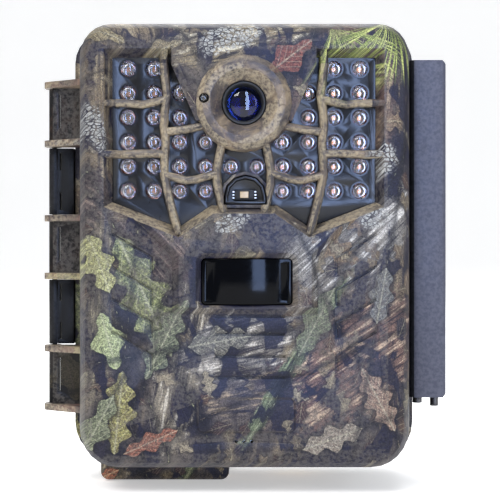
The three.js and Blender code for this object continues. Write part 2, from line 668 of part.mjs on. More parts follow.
/** An arch with a flat foot, for the light sensor. */
function lightSensorOutline(grow = 0) {
  const { x, z0, z1, radius } = LIGHT_SENSOR;
  const r = radius + grow;
  const spring = z1 - radius;
  const shape = new THREE.Shape();
  shape.moveTo(x - r, z0 - grow);
  shape.lineTo(x + r, z0 - grow);
  shape.lineTo(x + r, spring);
  shape.absarc(x, spring, r, 0, Math.PI);
  shape.lineTo(x - r, z0 - grow);
  return shape;
}

add(door, 'front_shell', frontShell(), CAMO, 0.5);

/** The dark panel in the recess, with a cup for each LED. */
function ledPanel() {
  const plate = slab(panelOutline(1.6), PANEL.front + 0.1, PANEL.front + 1.7);
  const cups = ledPlaces().map(([x, z]) => rodY(LED.radius + 0.4, -70, -60, x, z, LED.sides));
  return cut(
    plate, cups, rodY(LENS.bore, -70, -60, LENS.x, LENS.z, 20),
    rodY(1.7, -70, -60, INDICATOR.x, INDICATOR.z, 10), slab(lightSensorOutline(GAP), -75, -60),
  );
}
add(door, 'led_panel', ledPanel(), 0x14161f, 0.2);

/** LED board: one domed LED at every place, on a board that clears the lens. */
function ledBoard() {
  const board = cut(
    slab(roundedRect(-40.6, 39.8, 82.6, 128.4, 2), -61.3, -59.8),
    rodY(LENS.bore + 0.6, -70, -50, LENS.x, LENS.z, 20),
    slab(lightSensorOutline(0.6), -75, -50),
    rodY(1.9, -70, -50, INDICATOR.x, INDICATOR.z, 10),
  );
  const r = LED.radius;
  const leds = ledPlaces().map(([x, z]) => turnedY([
    [0, -65], [r, -63.4], [r, -60.5], [0, -60.5],
  ], x, z, LED.sides));
  return joined(board, leds);
}
add(door, 'ir_led_board', ledBoard(), 0xc9c2c4, 0.15);

/** Lens barrel: a stepped tube with a seat for each lens. */
const barrel = turnedY([
  [LENS.barrel, -66.3], [LENS.barrel, -58], [4.2, -58], [4.2, -60.6], [5, -60.6], [5, -64.6],
  [5.6, -64.6], [5.6, -67.4], [6.1, -68.3], [LENS.nose, -68.3], [LENS.nose, -66.3],
  [LENS.barrel, -66.3],
], LENS.x, LENS.z, 24);
add(door, 'lens_barrel', barrel, BLACK, 0.35);
add(door, 'front_lens', turnedY([
  [0, -67.1], [2, -66.9], [3.8, -66.2], [5.2, -65.2], [5.2, -64.9], [0, -64.9],
], LENS.x, LENS.z, 24), 0x27345c, 0.05);
add(door, 'rear_lens', turnedY([
  [0, -63.4], [2.8, -63], [4.6, -62.2], [4.6, -60.9], [0, -60.9],
], LENS.x, LENS.z, 20), 0x27345c, 0.05);

/** Block behind the barrel, bored for the light and slotted across for the filter. */
const lensHolder = cut(
  block(LENS.x - 12, LENS.x + 12, -57.6, -52.6, LENS.z - 9.5, LENS.z + 9.5),
  rodY(5, -60, -50, LENS.x, LENS.z, 16),
  block(LENS.x - 20, LENS.x + 20, -56, -54, LENS.z - 5.8, LENS.z + 5.8),
);
add(door, 'lens_holder', lensHolder, BLACK, 0.5);

const filterSlide = subGroup();
add(filterSlide, 'ir_filter',
  block(LENS.x - 14.5, LENS.x + 6.5, -55.4, -54.6, LENS.z - 5.3, LENS.z + 5.3), 0x7fb2c6, 0.1);

const cameraBoard = joined(
  block(LENS.x - 16, LENS.x + 16, -52.3, -50.8, LENS.z - 14, LENS.z + 14),
  block(LENS.x - 3.6, LENS.x + 3.6, -53.2, -52.2, LENS.z - 2.8, LENS.z + 2.8),
);
add(door, 'camera_board', cameraBoard, BOARD, 0.5);

/** Dark cup of the light sensor, open to the front. */
const sensorCup = cut(
  slab(lightSensorOutline(), -66.9, -61.9),
  slab(lightSensorOutline(-0.9), -70, -63.4),
);
add(door, 'light_sensor_cup', sensorCup, BLACK, 0.15);
add(door, 'light_sensor', joined(
  block(LIGHT_SENSOR.x - 3.4, LIGHT_SENSOR.x + 2.8, -64.7, -63.7, 83.7, 86.9),
  block(LIGHT_SENSOR.x - 1.6, LIGHT_SENSOR.x + 1, -65.3, -64.6, 84.3, 86.3),
), 0xd8d2c0, 0.3);

add(door, 'indicator_lamp', turnedY([
  [0, -70.9], [0.8, -70.7], [1.3, -70], [1.3, -62], [0, -62],
], INDICATOR.x, INDICATOR.z, 12), 0x1c1d26, 0.15);

/** The motion-sensor window's outline, moved out by `grow`. */
function pirOutline(grow = 0) {
  const { x0, x1, z0, z1, corner } = PIR;
  return roundedRect(x0 - grow, x1 + grow, z0 - grow, z1 + grow, corner + grow);
}

/** Motion-sensor window: a thin plate bent about a vertical line, inside its opening. */
function pirWindow() {
  const { x0, x1, z0, z1 } = PIR;
  const middle = (x0 + x1) / 2;
  const radius = 46;
  const centre = -70.6 + radius;
  const skin = cut(
    rodZ(radius, z0 - 4, z1 + 4, middle, centre, 72), rodZ(radius - 1.6, z0 - 5, z1 + 5, middle, centre, 72),
  );
  const inside = block(x0 + 1.2, x1 - 1.2, -80, -60, z0 + 1.2, z1 - 1.2);
  const wall = cut(slab(pirOutline(), -69.4, -65), inside);
  const rim = cut(slab(pirOutline(1.6), -65.9, -64.7), inside);
  const face = common(skin, slab(pirOutline(), -72, -60));
  return joined(face, wall, rim);
}
add(door, 'pir_window', pirWindow(), 0x1a1c28, 0.12);
add(door, 'pir_sensor', joined(
  rodY(4.2, -61.5, -57, 0.5, 58.4, 16),
  rodY(4.9, -57.6, -56.9, 0.5, 58.4, 16),
  block(-10, 11, -57, -55.4, 46, 71),
), STEEL, 0.35, 0.9);
add(door, 'microphone', rodY(3.2, -65.8, -63, -0.4, 9.2, 14), STEEL, 0.35, 0.9);

/** Cover over the back of the front half, held by four screws. */
function innerCover() {
  const plate = slab(housingOutline(DOOR, 2.9), -48, -46.4);
  const holes = COVER_SCREWS.map(([x, z]) => rodY(1.7, -50, -40, x, z, 10));
  const panel = bevelled(roundedRect(-38, 37, 22, 116, 4), -46.5, -45.4, 0.8, 0.4, 1);
  const field = slab(roundedRect(-36, 35, 24, 114, 3), -46.9, -40);
  return cut(joined(plate, cut(panel, field)), holes);
}
add(door, 'inner_cover', innerCover(), 0x2a2c31, 0.65);
COVER_SCREWS.forEach(([x, z], i) => {
  add(door, `cover_screw_${i + 1}`, screwY(x, z, -46.1, 1, 2.9, 1.4, 1.2, 8), STEEL, 0.35, 1);
});

// ---------------------------------------------------------------- latch

const link = subGroup();
const lever = subGroup();

const LINK_SPAN = { z0: 52, z1: 97.5 };
const LEVER_GAP = { z0: 58, z1: 91.5 };

/** The link: an arm from the pin on the rear half to the lever's pin. */
function latchLink() {
  const { ax, ay, bx, by } = LATCH;
  const { z0, z1 } = LINK_SPAN;
  const arm = polygon([[ax - 1, ay - 1.4], [ax + 1.6, ay], [bx + 1.2, by + 1], [bx - 1.2, by + 1]]);
  const solid = joined(
    rodZ(2.2, z0, z1, ax, ay),
    column(arm, z0, z1),
    rodZ(1.8, LEVER_GAP.z0 + GAP, LEVER_GAP.z1 - GAP, bx, by),
  );
  return cut(
    solid,
    rodZ(1.45, z0 - 1, z1 + 1, ax, ay, 12),
    rodZ(1.35, z0 - 1, z1 + 1, bx, by, 12),
    block(bx - 4, bx + 4, by - 3, by + 2.4, z0 - 1, LEVER_GAP.z0 + GAP),
    block(bx - 4, bx + 4, by - 3, by + 2.4, LEVER_GAP.z1 - GAP, z1 + 1),
  );
}
add(link, 'latch_link', latchLink(), 0x3c3e49, 0.4, 0.3);

/** A pin with a head at its lower end. */
function latchPin(radius, headRadius, top, x, y) {
  const { pinEnd, headTop } = LATCH;
  return joined(rodZ(radius, pinEnd + 1, top, x, y, 12), rodZ(headRadius, pinEnd, headTop, x, y, 12));
}
add(rear, 'latch_pin_rear',
  latchPin(1.15, 1.6, LATCH_LUGS[1][1] + 1, LATCH.ax, LATCH.ay), BLACK, 0.4, 0.6);
add(link, 'latch_pin_front',
  latchPin(1.05, 1.35, LATCH.top - 6, LATCH.bx, LATCH.by), BLACK, 0.4, 0.6);

/** The lever: a long channel whose front wall shows, with a lip turned in beside the front half. */
function latchLever() {
  const { bottom, top, bx, by } = LATCH;
  const section = new THREE.Shape();
  section.moveTo(51.9, -51.2);
  section.lineTo(51.9, -54.4);
  section.quadraticCurveTo(52.2, -56.2, 54.6, -56.4);
  section.lineTo(62.2, -56.4);
  section.quadraticCurveTo(63.6, -56.2, 63.7, -54.8);
  section.lineTo(63.7, -46);
  section.lineTo(61.9, -46);
  section.lineTo(61.9, -54.2);
  section.lineTo(54.4, -54.2);
  section.lineTo(53.5, -51.2);
  const channel = column(section, bottom, top, 4);
  const barrelLow = rodZ(1.8, bottom + 2, LEVER_GAP.z0, bx, by);
  const barrelHigh = rodZ(1.8, LEVER_GAP.z1, top - 2, bx, by);
  const web = [[bottom + 2, LEVER_GAP.z0], [LEVER_GAP.z1, top - 2]].map(
    ([z0, z1]) => block(bx, 63.7, by - 3, by, z0, z1),
  );
  const corners = [];
  for (const [z, way] of [[bottom, 1], [top, -1]]) {
    const tip = [[64.7, z - way], [64.7, z + way * 2.2], [61.5, z - way]];
    corners.push(slab(polygon(tip), -60, -40));
  }
  const bore = rodZ(1.35, bottom - 2, top + 2, bx, by, 12);
  const linkRoom = rodZ(2.2, LEVER_GAP.z0, LEVER_GAP.z1, bx, by, 12);
  return cut(joined(channel, barrelLow, barrelHigh, web), corners, bore, linkRoom);
}
add(lever, 'latch_lever', latchLever(), GUNMETAL, 0.45, 0.2);

export default camera;
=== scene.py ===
"""Looks of a strap-on trail camera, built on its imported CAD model.

Each sub-assembly is a class that makes its pieces and dresses them, and each finish is a small
frozen dataclass. Sizes are in millimetres and are turned into metres where a mesh is made.
"""

import logging
import math
from dataclasses import dataclass, field
from enum import Enum
from typing import Callable, Sequence

import bpy
from mathutils import Matrix, Vector


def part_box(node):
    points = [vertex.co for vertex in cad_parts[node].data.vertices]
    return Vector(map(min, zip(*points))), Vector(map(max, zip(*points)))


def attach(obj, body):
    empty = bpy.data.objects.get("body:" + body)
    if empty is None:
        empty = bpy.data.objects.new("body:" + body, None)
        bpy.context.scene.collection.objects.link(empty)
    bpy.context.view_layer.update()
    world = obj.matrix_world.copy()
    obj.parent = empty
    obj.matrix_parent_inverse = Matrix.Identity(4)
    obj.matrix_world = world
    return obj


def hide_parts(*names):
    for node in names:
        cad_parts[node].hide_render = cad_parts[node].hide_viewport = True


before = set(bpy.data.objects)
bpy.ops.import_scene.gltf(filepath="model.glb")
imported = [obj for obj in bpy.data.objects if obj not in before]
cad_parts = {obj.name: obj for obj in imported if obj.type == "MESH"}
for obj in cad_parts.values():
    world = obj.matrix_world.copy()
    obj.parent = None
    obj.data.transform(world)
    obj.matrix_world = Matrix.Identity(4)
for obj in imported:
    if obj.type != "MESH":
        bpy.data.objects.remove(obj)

LOG = logging.getLogger("trail_camera")
MM = 0.001

Socket = bpy.types.NodeSocket
Value = float | Socket


# ------------------------------------------------------------------ small helpers


def paint(red: int, green: int, blue: int) -> tuple[float, float, float, float]:
    """Turns a display colour of 0 to 255 into the linear colour that shaders use.

    Args:
        red: Red, 0 to 255.
        green: Green, 0 to 255.
        blue: Blue, 0 to 255.

    Returns:
        The linear colour with full alpha.
    """

    def linear(part: int) -> float:
        """One channel, from display to linear."""
        share = part / 255
        return share / 12.92 if share <= 0.04045 else ((share + 0.055) / 1.055) ** 2.4

    return linear(red), linear(green), linear(blue), 1.0


def mm(*parts: float) -> tuple[float, ...]:
    """Lengths in millimetres, as metres."""
    return tuple(part * MM for part in parts)


def extent(node: str) -> tuple[Vector, Vector]:
    """Lowest and highest corner of a CAD node, in millimetres.

    Args:
        node: The CAD node's name.

    Returns:
        The two corners.
    """
    low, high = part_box(node)
    return Vector(low) / MM, Vector(high) / MM


def deselect() -> None:
    """Leaves object mode with nothing selected."""
    if bpy.context.object and bpy.context.object.mode != "OBJECT":
        bpy.ops.object.mode_set(mode="OBJECT")
    for item in bpy.context.selected_objects:
        item.select_set(False)


def only(item: bpy.types.Object) -> None:
    """Makes one object the selected and active one.

    Args:
        item: The object.
    """
    deselect()
    item.select_set(True)
    bpy.context.view_layer.objects.active = item


def settle(item: bpy.types.Object, name: str) -> bpy.types.Object:
    """Names an object and puts its place into its mesh.

    Args:
        item: The object.
        name: Its new name.

    Returns:
        The same object.
    """
    only(item)
    bpy.ops.object.transform_apply(location=True, rotation=True, scale=True)
    item.name = name
    item.data.name = name
    return item


def smooth(item: bpy.types.Object, angle: float = 35.0) -> None:
    """Shades smooth across edges flatter than an angle in degrees."""
    only(item)
    bpy.ops.object.shade_smooth_by_angle(angle=math.radians(angle))


def edit(item: bpy.types.Object, mode: str = "FACE") -> None:
    """Enters edit mode on one object with nothing selected.

    Args:
        item: The object.
        mode: What is selected: VERT, EDGE or FACE.
    """
    only(item)
    bpy.ops.object.mode_set(mode="EDIT")
    bpy.ops.mesh.select_mode(type=mode)
    bpy.ops.mesh.select_all(action="DESELECT")


def pick_faces(item: bpy.types.Object, test: Callable[[Vector, Vector], bool]) -> int:
    """Selects, in edit mode, the faces whose middle (mm) and normal pass a test.

    Args:
        item: The object in edit mode.
        test: Says whether a face is wanted, from its middle and its normal.

    Returns:
        How many faces were selected.
    """
    bpy.ops.object.mode_set(mode="OBJECT")
    count = 0
    for face in item.data.polygons:
        face.select = test(face.center / MM, face.normal)
        count += face.select
    bpy.ops.object.mode_set(mode="EDIT")
    return count


def leave_edit() -> None:
    """Goes back to object mode."""
    bpy.ops.object.mode_set(mode="OBJECT")


def round_edges(item: bpy.types.Object, width: float, segments: int = 2, angle: float = 30.0) -> None:
    """Rounds an object's sharp edges with an applied bevel.

    Args:
        item: The object.
        width: Width of the rounding, in mm.
        segments: Steps across it.
        angle: Edges sharper than this many degrees are rounded.
    """
    only(item)
    bevel = item.modifiers.new("rounding", "BEVEL")
    bevel.width = width * MM
    bevel.segments = segments
    bevel.limit_method = "ANGLE"
    bevel.angle_limit = math.radians(angle)
    bevel.use_clamp_overlap = True
    bevel.miter_outer = "MITER_ARC"
    bpy.ops.object.modifier_apply(modifier=bevel.name)


def refined(name: str, node: str, width: float, segments: int = 2, angle: float = 30.0) -> bpy.types.Object:
    """A copy of a CAD node with its corners merged and its edges rounded.

    Args:
        name: Name of the new piece.
        node: The CAD node that is copied.
        width: Width of the rounding, in mm.
        segments: Steps across the rounding.
        angle: Edges sharper than this many degrees are rounded.

    Returns:
        The new piece, without a finish.
    """
    item = bpy.data.objects.new(name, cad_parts[node].data.copy())
    bpy.context.scene.collection.objects.link(item)
    item.data.materials.clear()
    edit(item, "VERT")
    bpy.ops.mesh.select_all(action="SELECT")
    bpy.ops.mesh.remove_doubles(threshold=0.002 * MM)
    bpy.ops.mesh.dissolve_limited(angle_limit=math.radians(0.5))
    leave_edit()
    round_edges(item, width, segments, angle)
    smooth(item)
    return item


def block(name: str, low: Sequence[float], high: Sequence[float]) -> bpy.types.Object:
    """A box between two corners in mm, ready to be shaped.

    Args:
        name: Name of the new piece.
        low: Lowest corner.
        high: Highest corner.

    Returns:
        The box.
    """
    deselect()
    middle = [(a + b) / 2 * MM for a, b in zip(low, high)]
    bpy.ops.mesh.primitive_cube_add(size=1, location=middle)
    item = bpy.context.object
    item.scale = [(b - a) * MM for a, b in zip(low, high)]
    return settle(item, name)


class Axis(Enum):
    """Which way a turned piece's axis lies."""

    X = (0.0, math.pi / 2, 0.0)
    Y = (math.pi / 2, 0.0, 0.0)
    Z = (0.0, 0.0, 0.0)


def turned(name: str, profile: Sequence[tuple[float, float]], centre: Sequence[float],
           axis: Axis = Axis.Y, sides: int = 32) -> bpy.types.Object:
    """A profile of (radius, place along the axis) pairs in mm, spun about an axis.

    Args:
        name: Name of the new piece.
        profile: The pairs, from one end of the outline to the other.
        centre: A point on the axis in mm.
        axis: Which way the axis lies.
        sides: Steps round it.

    Returns:
        The turned piece, closed where the profile starts and ends on the axis or meets itself.
    """
    deselect()
    bpy.ops.mesh.primitive_plane_add(size=1)
    item = bpy.context.object
    points = [(radius * MM, 0.0, along * MM) for radius, along in profile]
    item.data.clear_geometry()
    item.data.from_pydata(points, [(i, i + 1) for i in range(len(points) - 1)], [])
    edit(item, "VERT")
    bpy.ops.mesh.select_all(action="SELECT")
    bpy.ops.mesh.spin(steps=sides, angle=2 * math.pi, center=(0, 0, 0), axis=(0, 0, 1))
    bpy.ops.mesh.select_all(action="SELECT")
    bpy.ops.mesh.remove_doubles(threshold=0.001 * MM)
    bpy.ops.mesh.normals_make_consistent(inside=False)
    leave_edit()
    item.rotation_euler = {Axis.X: (0, math.pi / 2, 0), Axis.Y: (-math.pi / 2, 0, 0), Axis.Z: (0, 0, 0)}[axis]
    item.location = mm(*centre)
    settle(item, name)
    smooth(item)
    return item


def joined(name: str, pieces: Sequence[bpy.types.Object]) -> bpy.types.Object:
    """Makes one object of several, keeping their materials.

    Args:
        name: Name of the result.
        pieces: The objects, the first of which is kept.

    Returns:
        The joined object.
    """
    deselect()
    for piece in pieces:
        piece.select_set(True)
    bpy.context.view_layer.objects.active = pieces[0]
    bpy.ops.object.join()
    return settle(bpy.context.object, name)


def twin(source: bpy.types.Object, name: str, shift: Sequence[float]) -> bpy.types.Object:
    """A copy of a piece with its own mesh, moved by some millimetres.

    Args:
        source: The piece that is copied.
        name: Name of the copy.
        shift: How far it moves, in mm.

    Returns:
        The copy.
    """
    item = bpy.data.objects.new(name, source.data.copy())
    bpy.context.scene.collection.objects.link(item)
    item.data.transform(Matrix.Translation(mm(*shift)))
    return item


def dress(item: bpy.types.Object, *finishes: bpy.types.Material) -> bpy.types.Object:
    """Gives an object these materials, the first of which covers it.

    Args:
        item: The object.
        finishes: The materials, in slot order.

    Returns:
        The same object.
    """
    item.data.materials.clear()
    for finish in finishes:
        item.data.materials.append(finish)
    return item


def paint_faces(item: bpy.types.Object, index: int, test: Callable[[Vector, Vector], bool],
                corners: bool = False) -> int:
    """Gives the faces whose middle (mm) and normal pass a test another of the object's materials.

    Args:
        item: The object.
        index: The material's place in the object's slots.
        test: Says whether a face is wanted.
        corners: Tests every corner of a face in place of its middle.

    Returns:
        How many faces were changed.
    """
    count = 0
    places = [vertex.co / MM for vertex in item.data.vertices]
    for face in item.data.polygons:
        points = [places[i] for i in face.vertices] if corners else [face.center / MM]
        if all(test(point, face.normal) for point in points):
            face.material_index = index
            count += 1
    return count


def place(item: bpy.types.Object, body: str, slot: str, *nodes: str) -> None:
    """Lets a piece ride on a body and hides the CAD nodes that it replaces.

    Args:
        item: The piece.
        body: The CAD body it moves with.
        slot: The record's material slot; not used.
        nodes: CAD nodes that it replaces.
    """
    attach(item, body)
    if nodes:
        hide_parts(*nodes)
    LOG.info("%s on %s: %d faces", item.name, body, len(item.data.polygons))


# ------------------------------------------------------------------ node trees


class Web:
    """Adds nodes to one node tree and joins them up."""

    def __init__(self, tree: bpy.types.NodeTree) -> None:
        """Starts on a tree."""
        self.tree = tree

    def add(self, kind: str, inputs: dict | None = None, **settings: object) -> bpy.types.Node:
        """Adds a node.

        Args:
            kind: The node's type.
            inputs: Values or sockets for its inputs, by name or number.
            **settings: Its own properties.

        Returns:
            The node.
        """
        node = self.tree.nodes.new(kind)
        for key, value in settings.items():
            setattr(node, key, value)
        for key, value in (inputs or {}).items():
            self.put(node.inputs[key], value)
        return node

    def put(self, socket: Socket, value: object) -> None:
        """Links a socket to an input, or sets the input's value.

        Args:
            socket: The input.
            value: A socket, or a value for the input.
        """
        if isinstance(value, bpy.types.NodeSocket):
            self.tree.links.new(value, socket)
        else:
            socket.default_value = value

    def math(self, operation: str, first: Value, second: Value = 0.0, third: Value = 0.0,
             clamp: bool = False) -> Socket:
        """A Math node's result.

        Args:
            operation: Its operation.
            first: First input.
            second: Second input.
            third: Third input.
            clamp: Keeps the result from 0 to 1.

        Returns:
            The result's socket.
        """
        node = self.add("ShaderNodeMath", operation=operation, use_clamp=clamp)
        for socket, value in zip(node.inputs, (first, second, third)):
            self.put(socket, value)
        return node.outputs[0]

    def vector(self, operation: str, first: object, second: object = None, scale: Value | None = None) -> Socket:
        """A Vector Math node's result.

        Args:
            operation: Its operation.
            first: First vector.
            second: Second vector, or None.
            scale: Scale, for SCALE.

        Returns:
            The resulting vector, or the value for a length or product.
        """
        node = self.add("ShaderNodeVectorMath", operation=operation)
        self.put(node.inputs[0], first)
        if second is not None:
            self.put(node.inputs[1], second)
        if scale is not None:
            self.put(node.inputs["Scale"], scale)
        return node.outputs["Value" if operation in ("LENGTH", "DOT_PRODUCT", "DISTANCE") else "Vector"]

    def mapped(self, vector: Socket, location: Sequence[float] = (0, 0, 0),
               rotation: Sequence[float] = (0, 0, 0), scale: Sequence[float] = (1, 1, 1),
               kind: str = "POINT") -> Socket:
        """Moves, turns and stretches a vector.

        Args:
            vector: The vector.
            location: How far it moves.
            rotation: How far it turns, in radians.
            scale: How it is stretched.
            kind: POINT, or TEXTURE for the inverse.

        Returns:
            The changed vector.
        """
        node = self.add("ShaderNodeMapping", vector_type=kind)
        for key, value in (("Vector", vector), ("Location", location), ("Rotation", rotation), ("Scale", scale)):
            self.put(node.inputs[key], value)
        return node.outputs[0]

    def noise(self, vector: Socket, scale: Value, detail: float = 2.0, rough: float = 0.5,
              bend: float = 0.0, output: str = "Fac") -> Socket:
        """A noise texture.

        Args:
            vector: Where it is read.
            scale: Its fineness.
            detail: Its layers.
            rough: Strength of the finer layers.
            bend: Distortion.
            output: Fac or Color.

        Returns:
            The chosen output.
        """
        node = self.add("ShaderNodeTexNoise", {
            "Vector": vector, "Scale": scale, "Detail": detail, "Roughness": rough, "Distortion": bend})
        return node.outputs[output]

    def cells(self, vector: Socket, scale: Value, feature: str = "F1", random_share: float = 1.0,
              output: str = "Distance") -> Socket:
        """A Voronoi texture.

        Args:
            vector: Where it is read.
            scale: Its fineness.
            feature: Which distance it measures.
            random_share: How irregular it is.
            output: Which output.

        Returns:
            The chosen output.
        """
        node = self.add("ShaderNodeTexVoronoi", {"Vector": vector, "Scale": scale, "Randomness": random_share},
                        feature=feature)
        return node.outputs[output]

    def step(self, value: Value, low: float, high: float) -> Socket:
        """0 below one value and 1 above another, smooth between; the ends may be swapped.

        Args:
            value: What is compared.
            low: Where the result is 0.
            high: Where the result is 1.

        Returns:
            The share, 0 to 1.
        """
        node = self.add("ShaderNodeMapRange", interpolation_type="SMOOTHSTEP")
        flip = low > high
        for key, part in (("Value", value), ("From Min", min(low, high)), ("From Max", max(low, high)),
                          ("To Min", 1.0 if flip else 0.0), ("To Max", 0.0 if flip else 1.0)):
            self.put(node.inputs[key], part)
        return node.outputs["Result"]

    def mix(self, share: Value, first: object, second: object, blend: str = "MIX") -> Socket:
        """A colour between two.

        Args:
            share: 0 for the first, 1 for the second.
            first: First colour.
            second: Second colour.
            blend: How they are mixed.

        Returns:
            The colour.
        """
        node = self.add("ShaderNodeMix", data_type="RGBA", blend_type=blend)
        self.put(node.inputs[0], share)
        self.put(node.inputs[6], first)
        self.put(node.inputs[7], second)
        return node.outputs[2]

    def ramp(self, share: Value, stops: Sequence[tuple[float, Sequence[float]]]) -> Socket:
        """A colour from a ramp.

        Args:
            share: Where the ramp is read.
            stops: Place and colour of each stop.

        Returns:
            The colour.
        """
        node = self.add("ShaderNodeValToRGB", {0: share})
        parts = node.color_ramp.elements
        while len(parts) < len(stops):
            parts.new(0.5)
        for part, (place_at, colour) in zip(parts, stops):
            part.position = place_at
            part.color = colour
        return node.outputs[0]

    def group(self, tree: bpy.types.NodeTree, inputs: dict | None = None) -> bpy.types.Node:
        """Places a node group.

        Args:
            tree: The group.
            inputs: Its inputs by name.

        Returns:
            The group's node.
        """
        node = self.tree.nodes.new("ShaderNodeGroup")
        node.node_tree = tree
        for key, value in (inputs or {}).items():
            self.put(node.inputs[key], value)
        return node


class Effect:
    """A shader node group with named inputs and outputs, filled by the class that owns it."""

    def __init__(self, name: str, inputs: dict[str, float | None], outputs: dict[str, str]) -> None:
        """Makes the empty group.

        Args:
            name: The group's name.
            inputs: Input names and default values, None for a vector.
            outputs: Output names, each COLOR or FLOAT.
        """
        self.tree = bpy.data.node_groups.new(name, "ShaderNodeTree")
        for key, default in inputs.items():
            kind = "NodeSocketVector" if default is None else "NodeSocketFloat"
            socket = self.tree.interface.new_socket(key, in_out="INPUT", socket_type=kind)
            if default is not None:
                socket.default_value = default
        for key, kind in outputs.items():
            self.tree.interface.new_socket(
                key, in_out="OUTPUT", socket_type="NodeSocketColor" if kind == "COLOR" else "NodeSocketFloat")
        self.web = Web(self.tree)
        self.enter = self.tree.nodes.new("NodeGroupInput")
        self.leave = self.tree.nodes.new("NodeGroupOutput")

    def given(self, key: str) -> Socket:
        """The socket of one of the group's inputs."""
        return self.enter.outputs[key]

    def result(self, key: str, socket: Socket) -> None:
        """Sends a socket to one of the group's outputs."""
        self.tree.links.new(socket, self.leave.inputs[key])


def moulded_grain() -> bpy.types.NodeTree:
    """Fine spark texture of a mould, with slow waves in the wall.

    Returns:
        A group with Vector (mm), Fine and Wave in, Height and Rough out.
    """
    effect = Effect("moulded_grain", {"Vector": None, "Fine": 3.0, "Wave": 0.2},
                    {"Height": "FLOAT", "Rough": "FLOAT"})
    web = effect.web
    fine = web.noise(effect.given("Vector"), effect.given("Fine"), 3.0, 0.6)
    pits = web.cells(effect.given("Vector"), effect.given("Fine"), "F1")
    wave = web.noise(effect.given("Vector"), 0.06, 2.0)
    height = web.math("ADD", fine, web.math("MULTIPLY", pits, 0.5))
    effect.result("Height", web.math("ADD", height, web.math("MULTIPLY", wave, effect.given("Wave"))))
    effect.result("Rough", web.noise(effect.given("Vector"), 0.25, 4.0, 0.6))
    return effect.tree


def edge_wear() -> bpy.types.NodeTree:
    """Rubbed edges and scuffs; the printed film also uses the edge share for a painted highlight.

    Returns:
        A group with Vector (mm) in, Edge and Scuff out.
    """
    effect = Effect("edge_wear", {"Vector": None}, {"Edge": "FLOAT", "Scuff": "FLOAT"})
    web = effect.web
    point = web.add("ShaderNodeNewGeometry").outputs["Pointiness"]
    broken = web.noise(effect.given("Vector"), 0.9, 4.0, 0.65)
    edge = web.step(point, 0.512, 0.57)
    effect.result("Edge", web.math("MULTIPLY", edge, web.step(broken, 0.35, 0.62)))
    line = web.mapped(effect.given("Vector"), rotation=(0.2, 0.5, 0.9), scale=(0.06, 2.2, 0.7))
    scratch = web.step(web.noise(line, 1.0, 3.0, 0.7), 0.66, 0.74)
    some_places = web.step(web.noise(effect.given("Vector"), 0.08), 0.5, 0.62)
    effect.result("Scuff", web.math("MULTIPLY", scratch, some_places))
    return effect.tree


def settled_dust() -> bpy.types.NodeTree:
    """Dust that lies on what faces up, and in hollows.

    Returns:
        A group with Vector (mm) in, Dust out.
    """
    effect = Effect("settled_dust", {"Vector": None}, {"Dust": "FLOAT"})
    web = effect.web
    shape = web.add("ShaderNodeNewGeometry")
    up = web.vector("DOT_PRODUCT", shape.outputs["Normal"], (0.0, 0.0, 1.0))
    specks = web.step(web.noise(effect.given("Vector"), 1.6, 5.0, 0.7), 0.5, 0.75)
    cloud = web.noise(effect.given("Vector"), 0.12, 3.0)
    hollow = web.step(shape.outputs["Pointiness"], 0.49, 0.42)
    lying = web.math("MULTIPLY", web.step(up, 0.3, 1.0), cloud)
    both = web.math("ADD", lying, web.math("MULTIPLY", hollow, 0.6))
    effect.result("Dust", web.math("MULTIPLY", both, web.math("ADD", specks, 0.25), clamp=True))
    return effect.tree


# ------------------------------------------------------------------ the woodland print


@dataclass(frozen=True)
class Patch:
    """A soft-edged field of bark, straw or litter, streaked in one direction. Sizes in mm."""

    x: float
    z: float
    half_long: float
    half_wide: float
    turn: float
    streak: tuple[float, float]
    colours: tuple[tuple[int, int, int], tuple[int, int, int], tuple[int, int, int]]
    strength: float = 0.95


@dataclass(frozen=True)
class Leaf:
    """One printed leaf, by its middle, the turn of its midrib in degrees and its size in mm."""

    x: float
    z: float
    turn: float
    length: float
    width: float
    lobes: float
    light: tuple[int, int, int]
    dark: tuple[int, int, int]


PATCHES = (
    Patch(-39, 44, 34, 17, 88, (0.035, 0.42), ((44, 40, 44), (122, 108, 86), (178, 162, 128))),
    Patch(-4, 64, 26, 8, 12, (0.09, 0.7), ((50, 46, 44), (140, 126, 98), (226, 216, 184))),
    Patch(30, 40, 30, 17, 80, (0.05, 0.5), ((36, 32, 40), (98, 80, 72), (156, 136, 112))),
    Patch(-36, 3, 26, 13, -48, (0.05, 0.5), ((28, 26, 38), (76, 64, 64), (142, 124, 110))),
    Patch(32, 3, 26, 15, 42, (0.035, 0.55), ((40, 42, 56), (130, 126, 118), (226, 222, 210))),
    Patch(30, -36, 30, 16, 34, (0.06, 0.62), ((38, 34, 46), (116, 90, 80), (202, 176, 146))),
    Patch(-20, -38, 28, 7, 80, (0.05, 0.6), ((48, 44, 48), (142, 132, 112), (224, 214, 190))),
    Patch(2, -47, 16, 10, 10, (0.08, 0.5), ((34, 36, 54), (96, 88, 84), (168, 150, 124)), 0.8),
    Patch(0, -31, 21, 10, 14, (0.06, 0.6), ((52, 50, 58), (134, 128, 116), (222, 214, 196)), 0.9),
    Patch(-46, -20, 30, 6, 86, (0.05, 0.5), ((38, 40, 52), (108, 100, 84), (172, 162, 130)), 0.8),
    Patch(14, -38, 36, 2.6, 58, (0.1, 0.9), ((58, 66, 56), (118, 130, 96), (182, 188, 150))),
    Patch(-12, 20, 18, 5, 30, (0.06, 0.6), ((36, 38, 54), (104, 98, 96), (180, 170, 152)), 0.85),
)

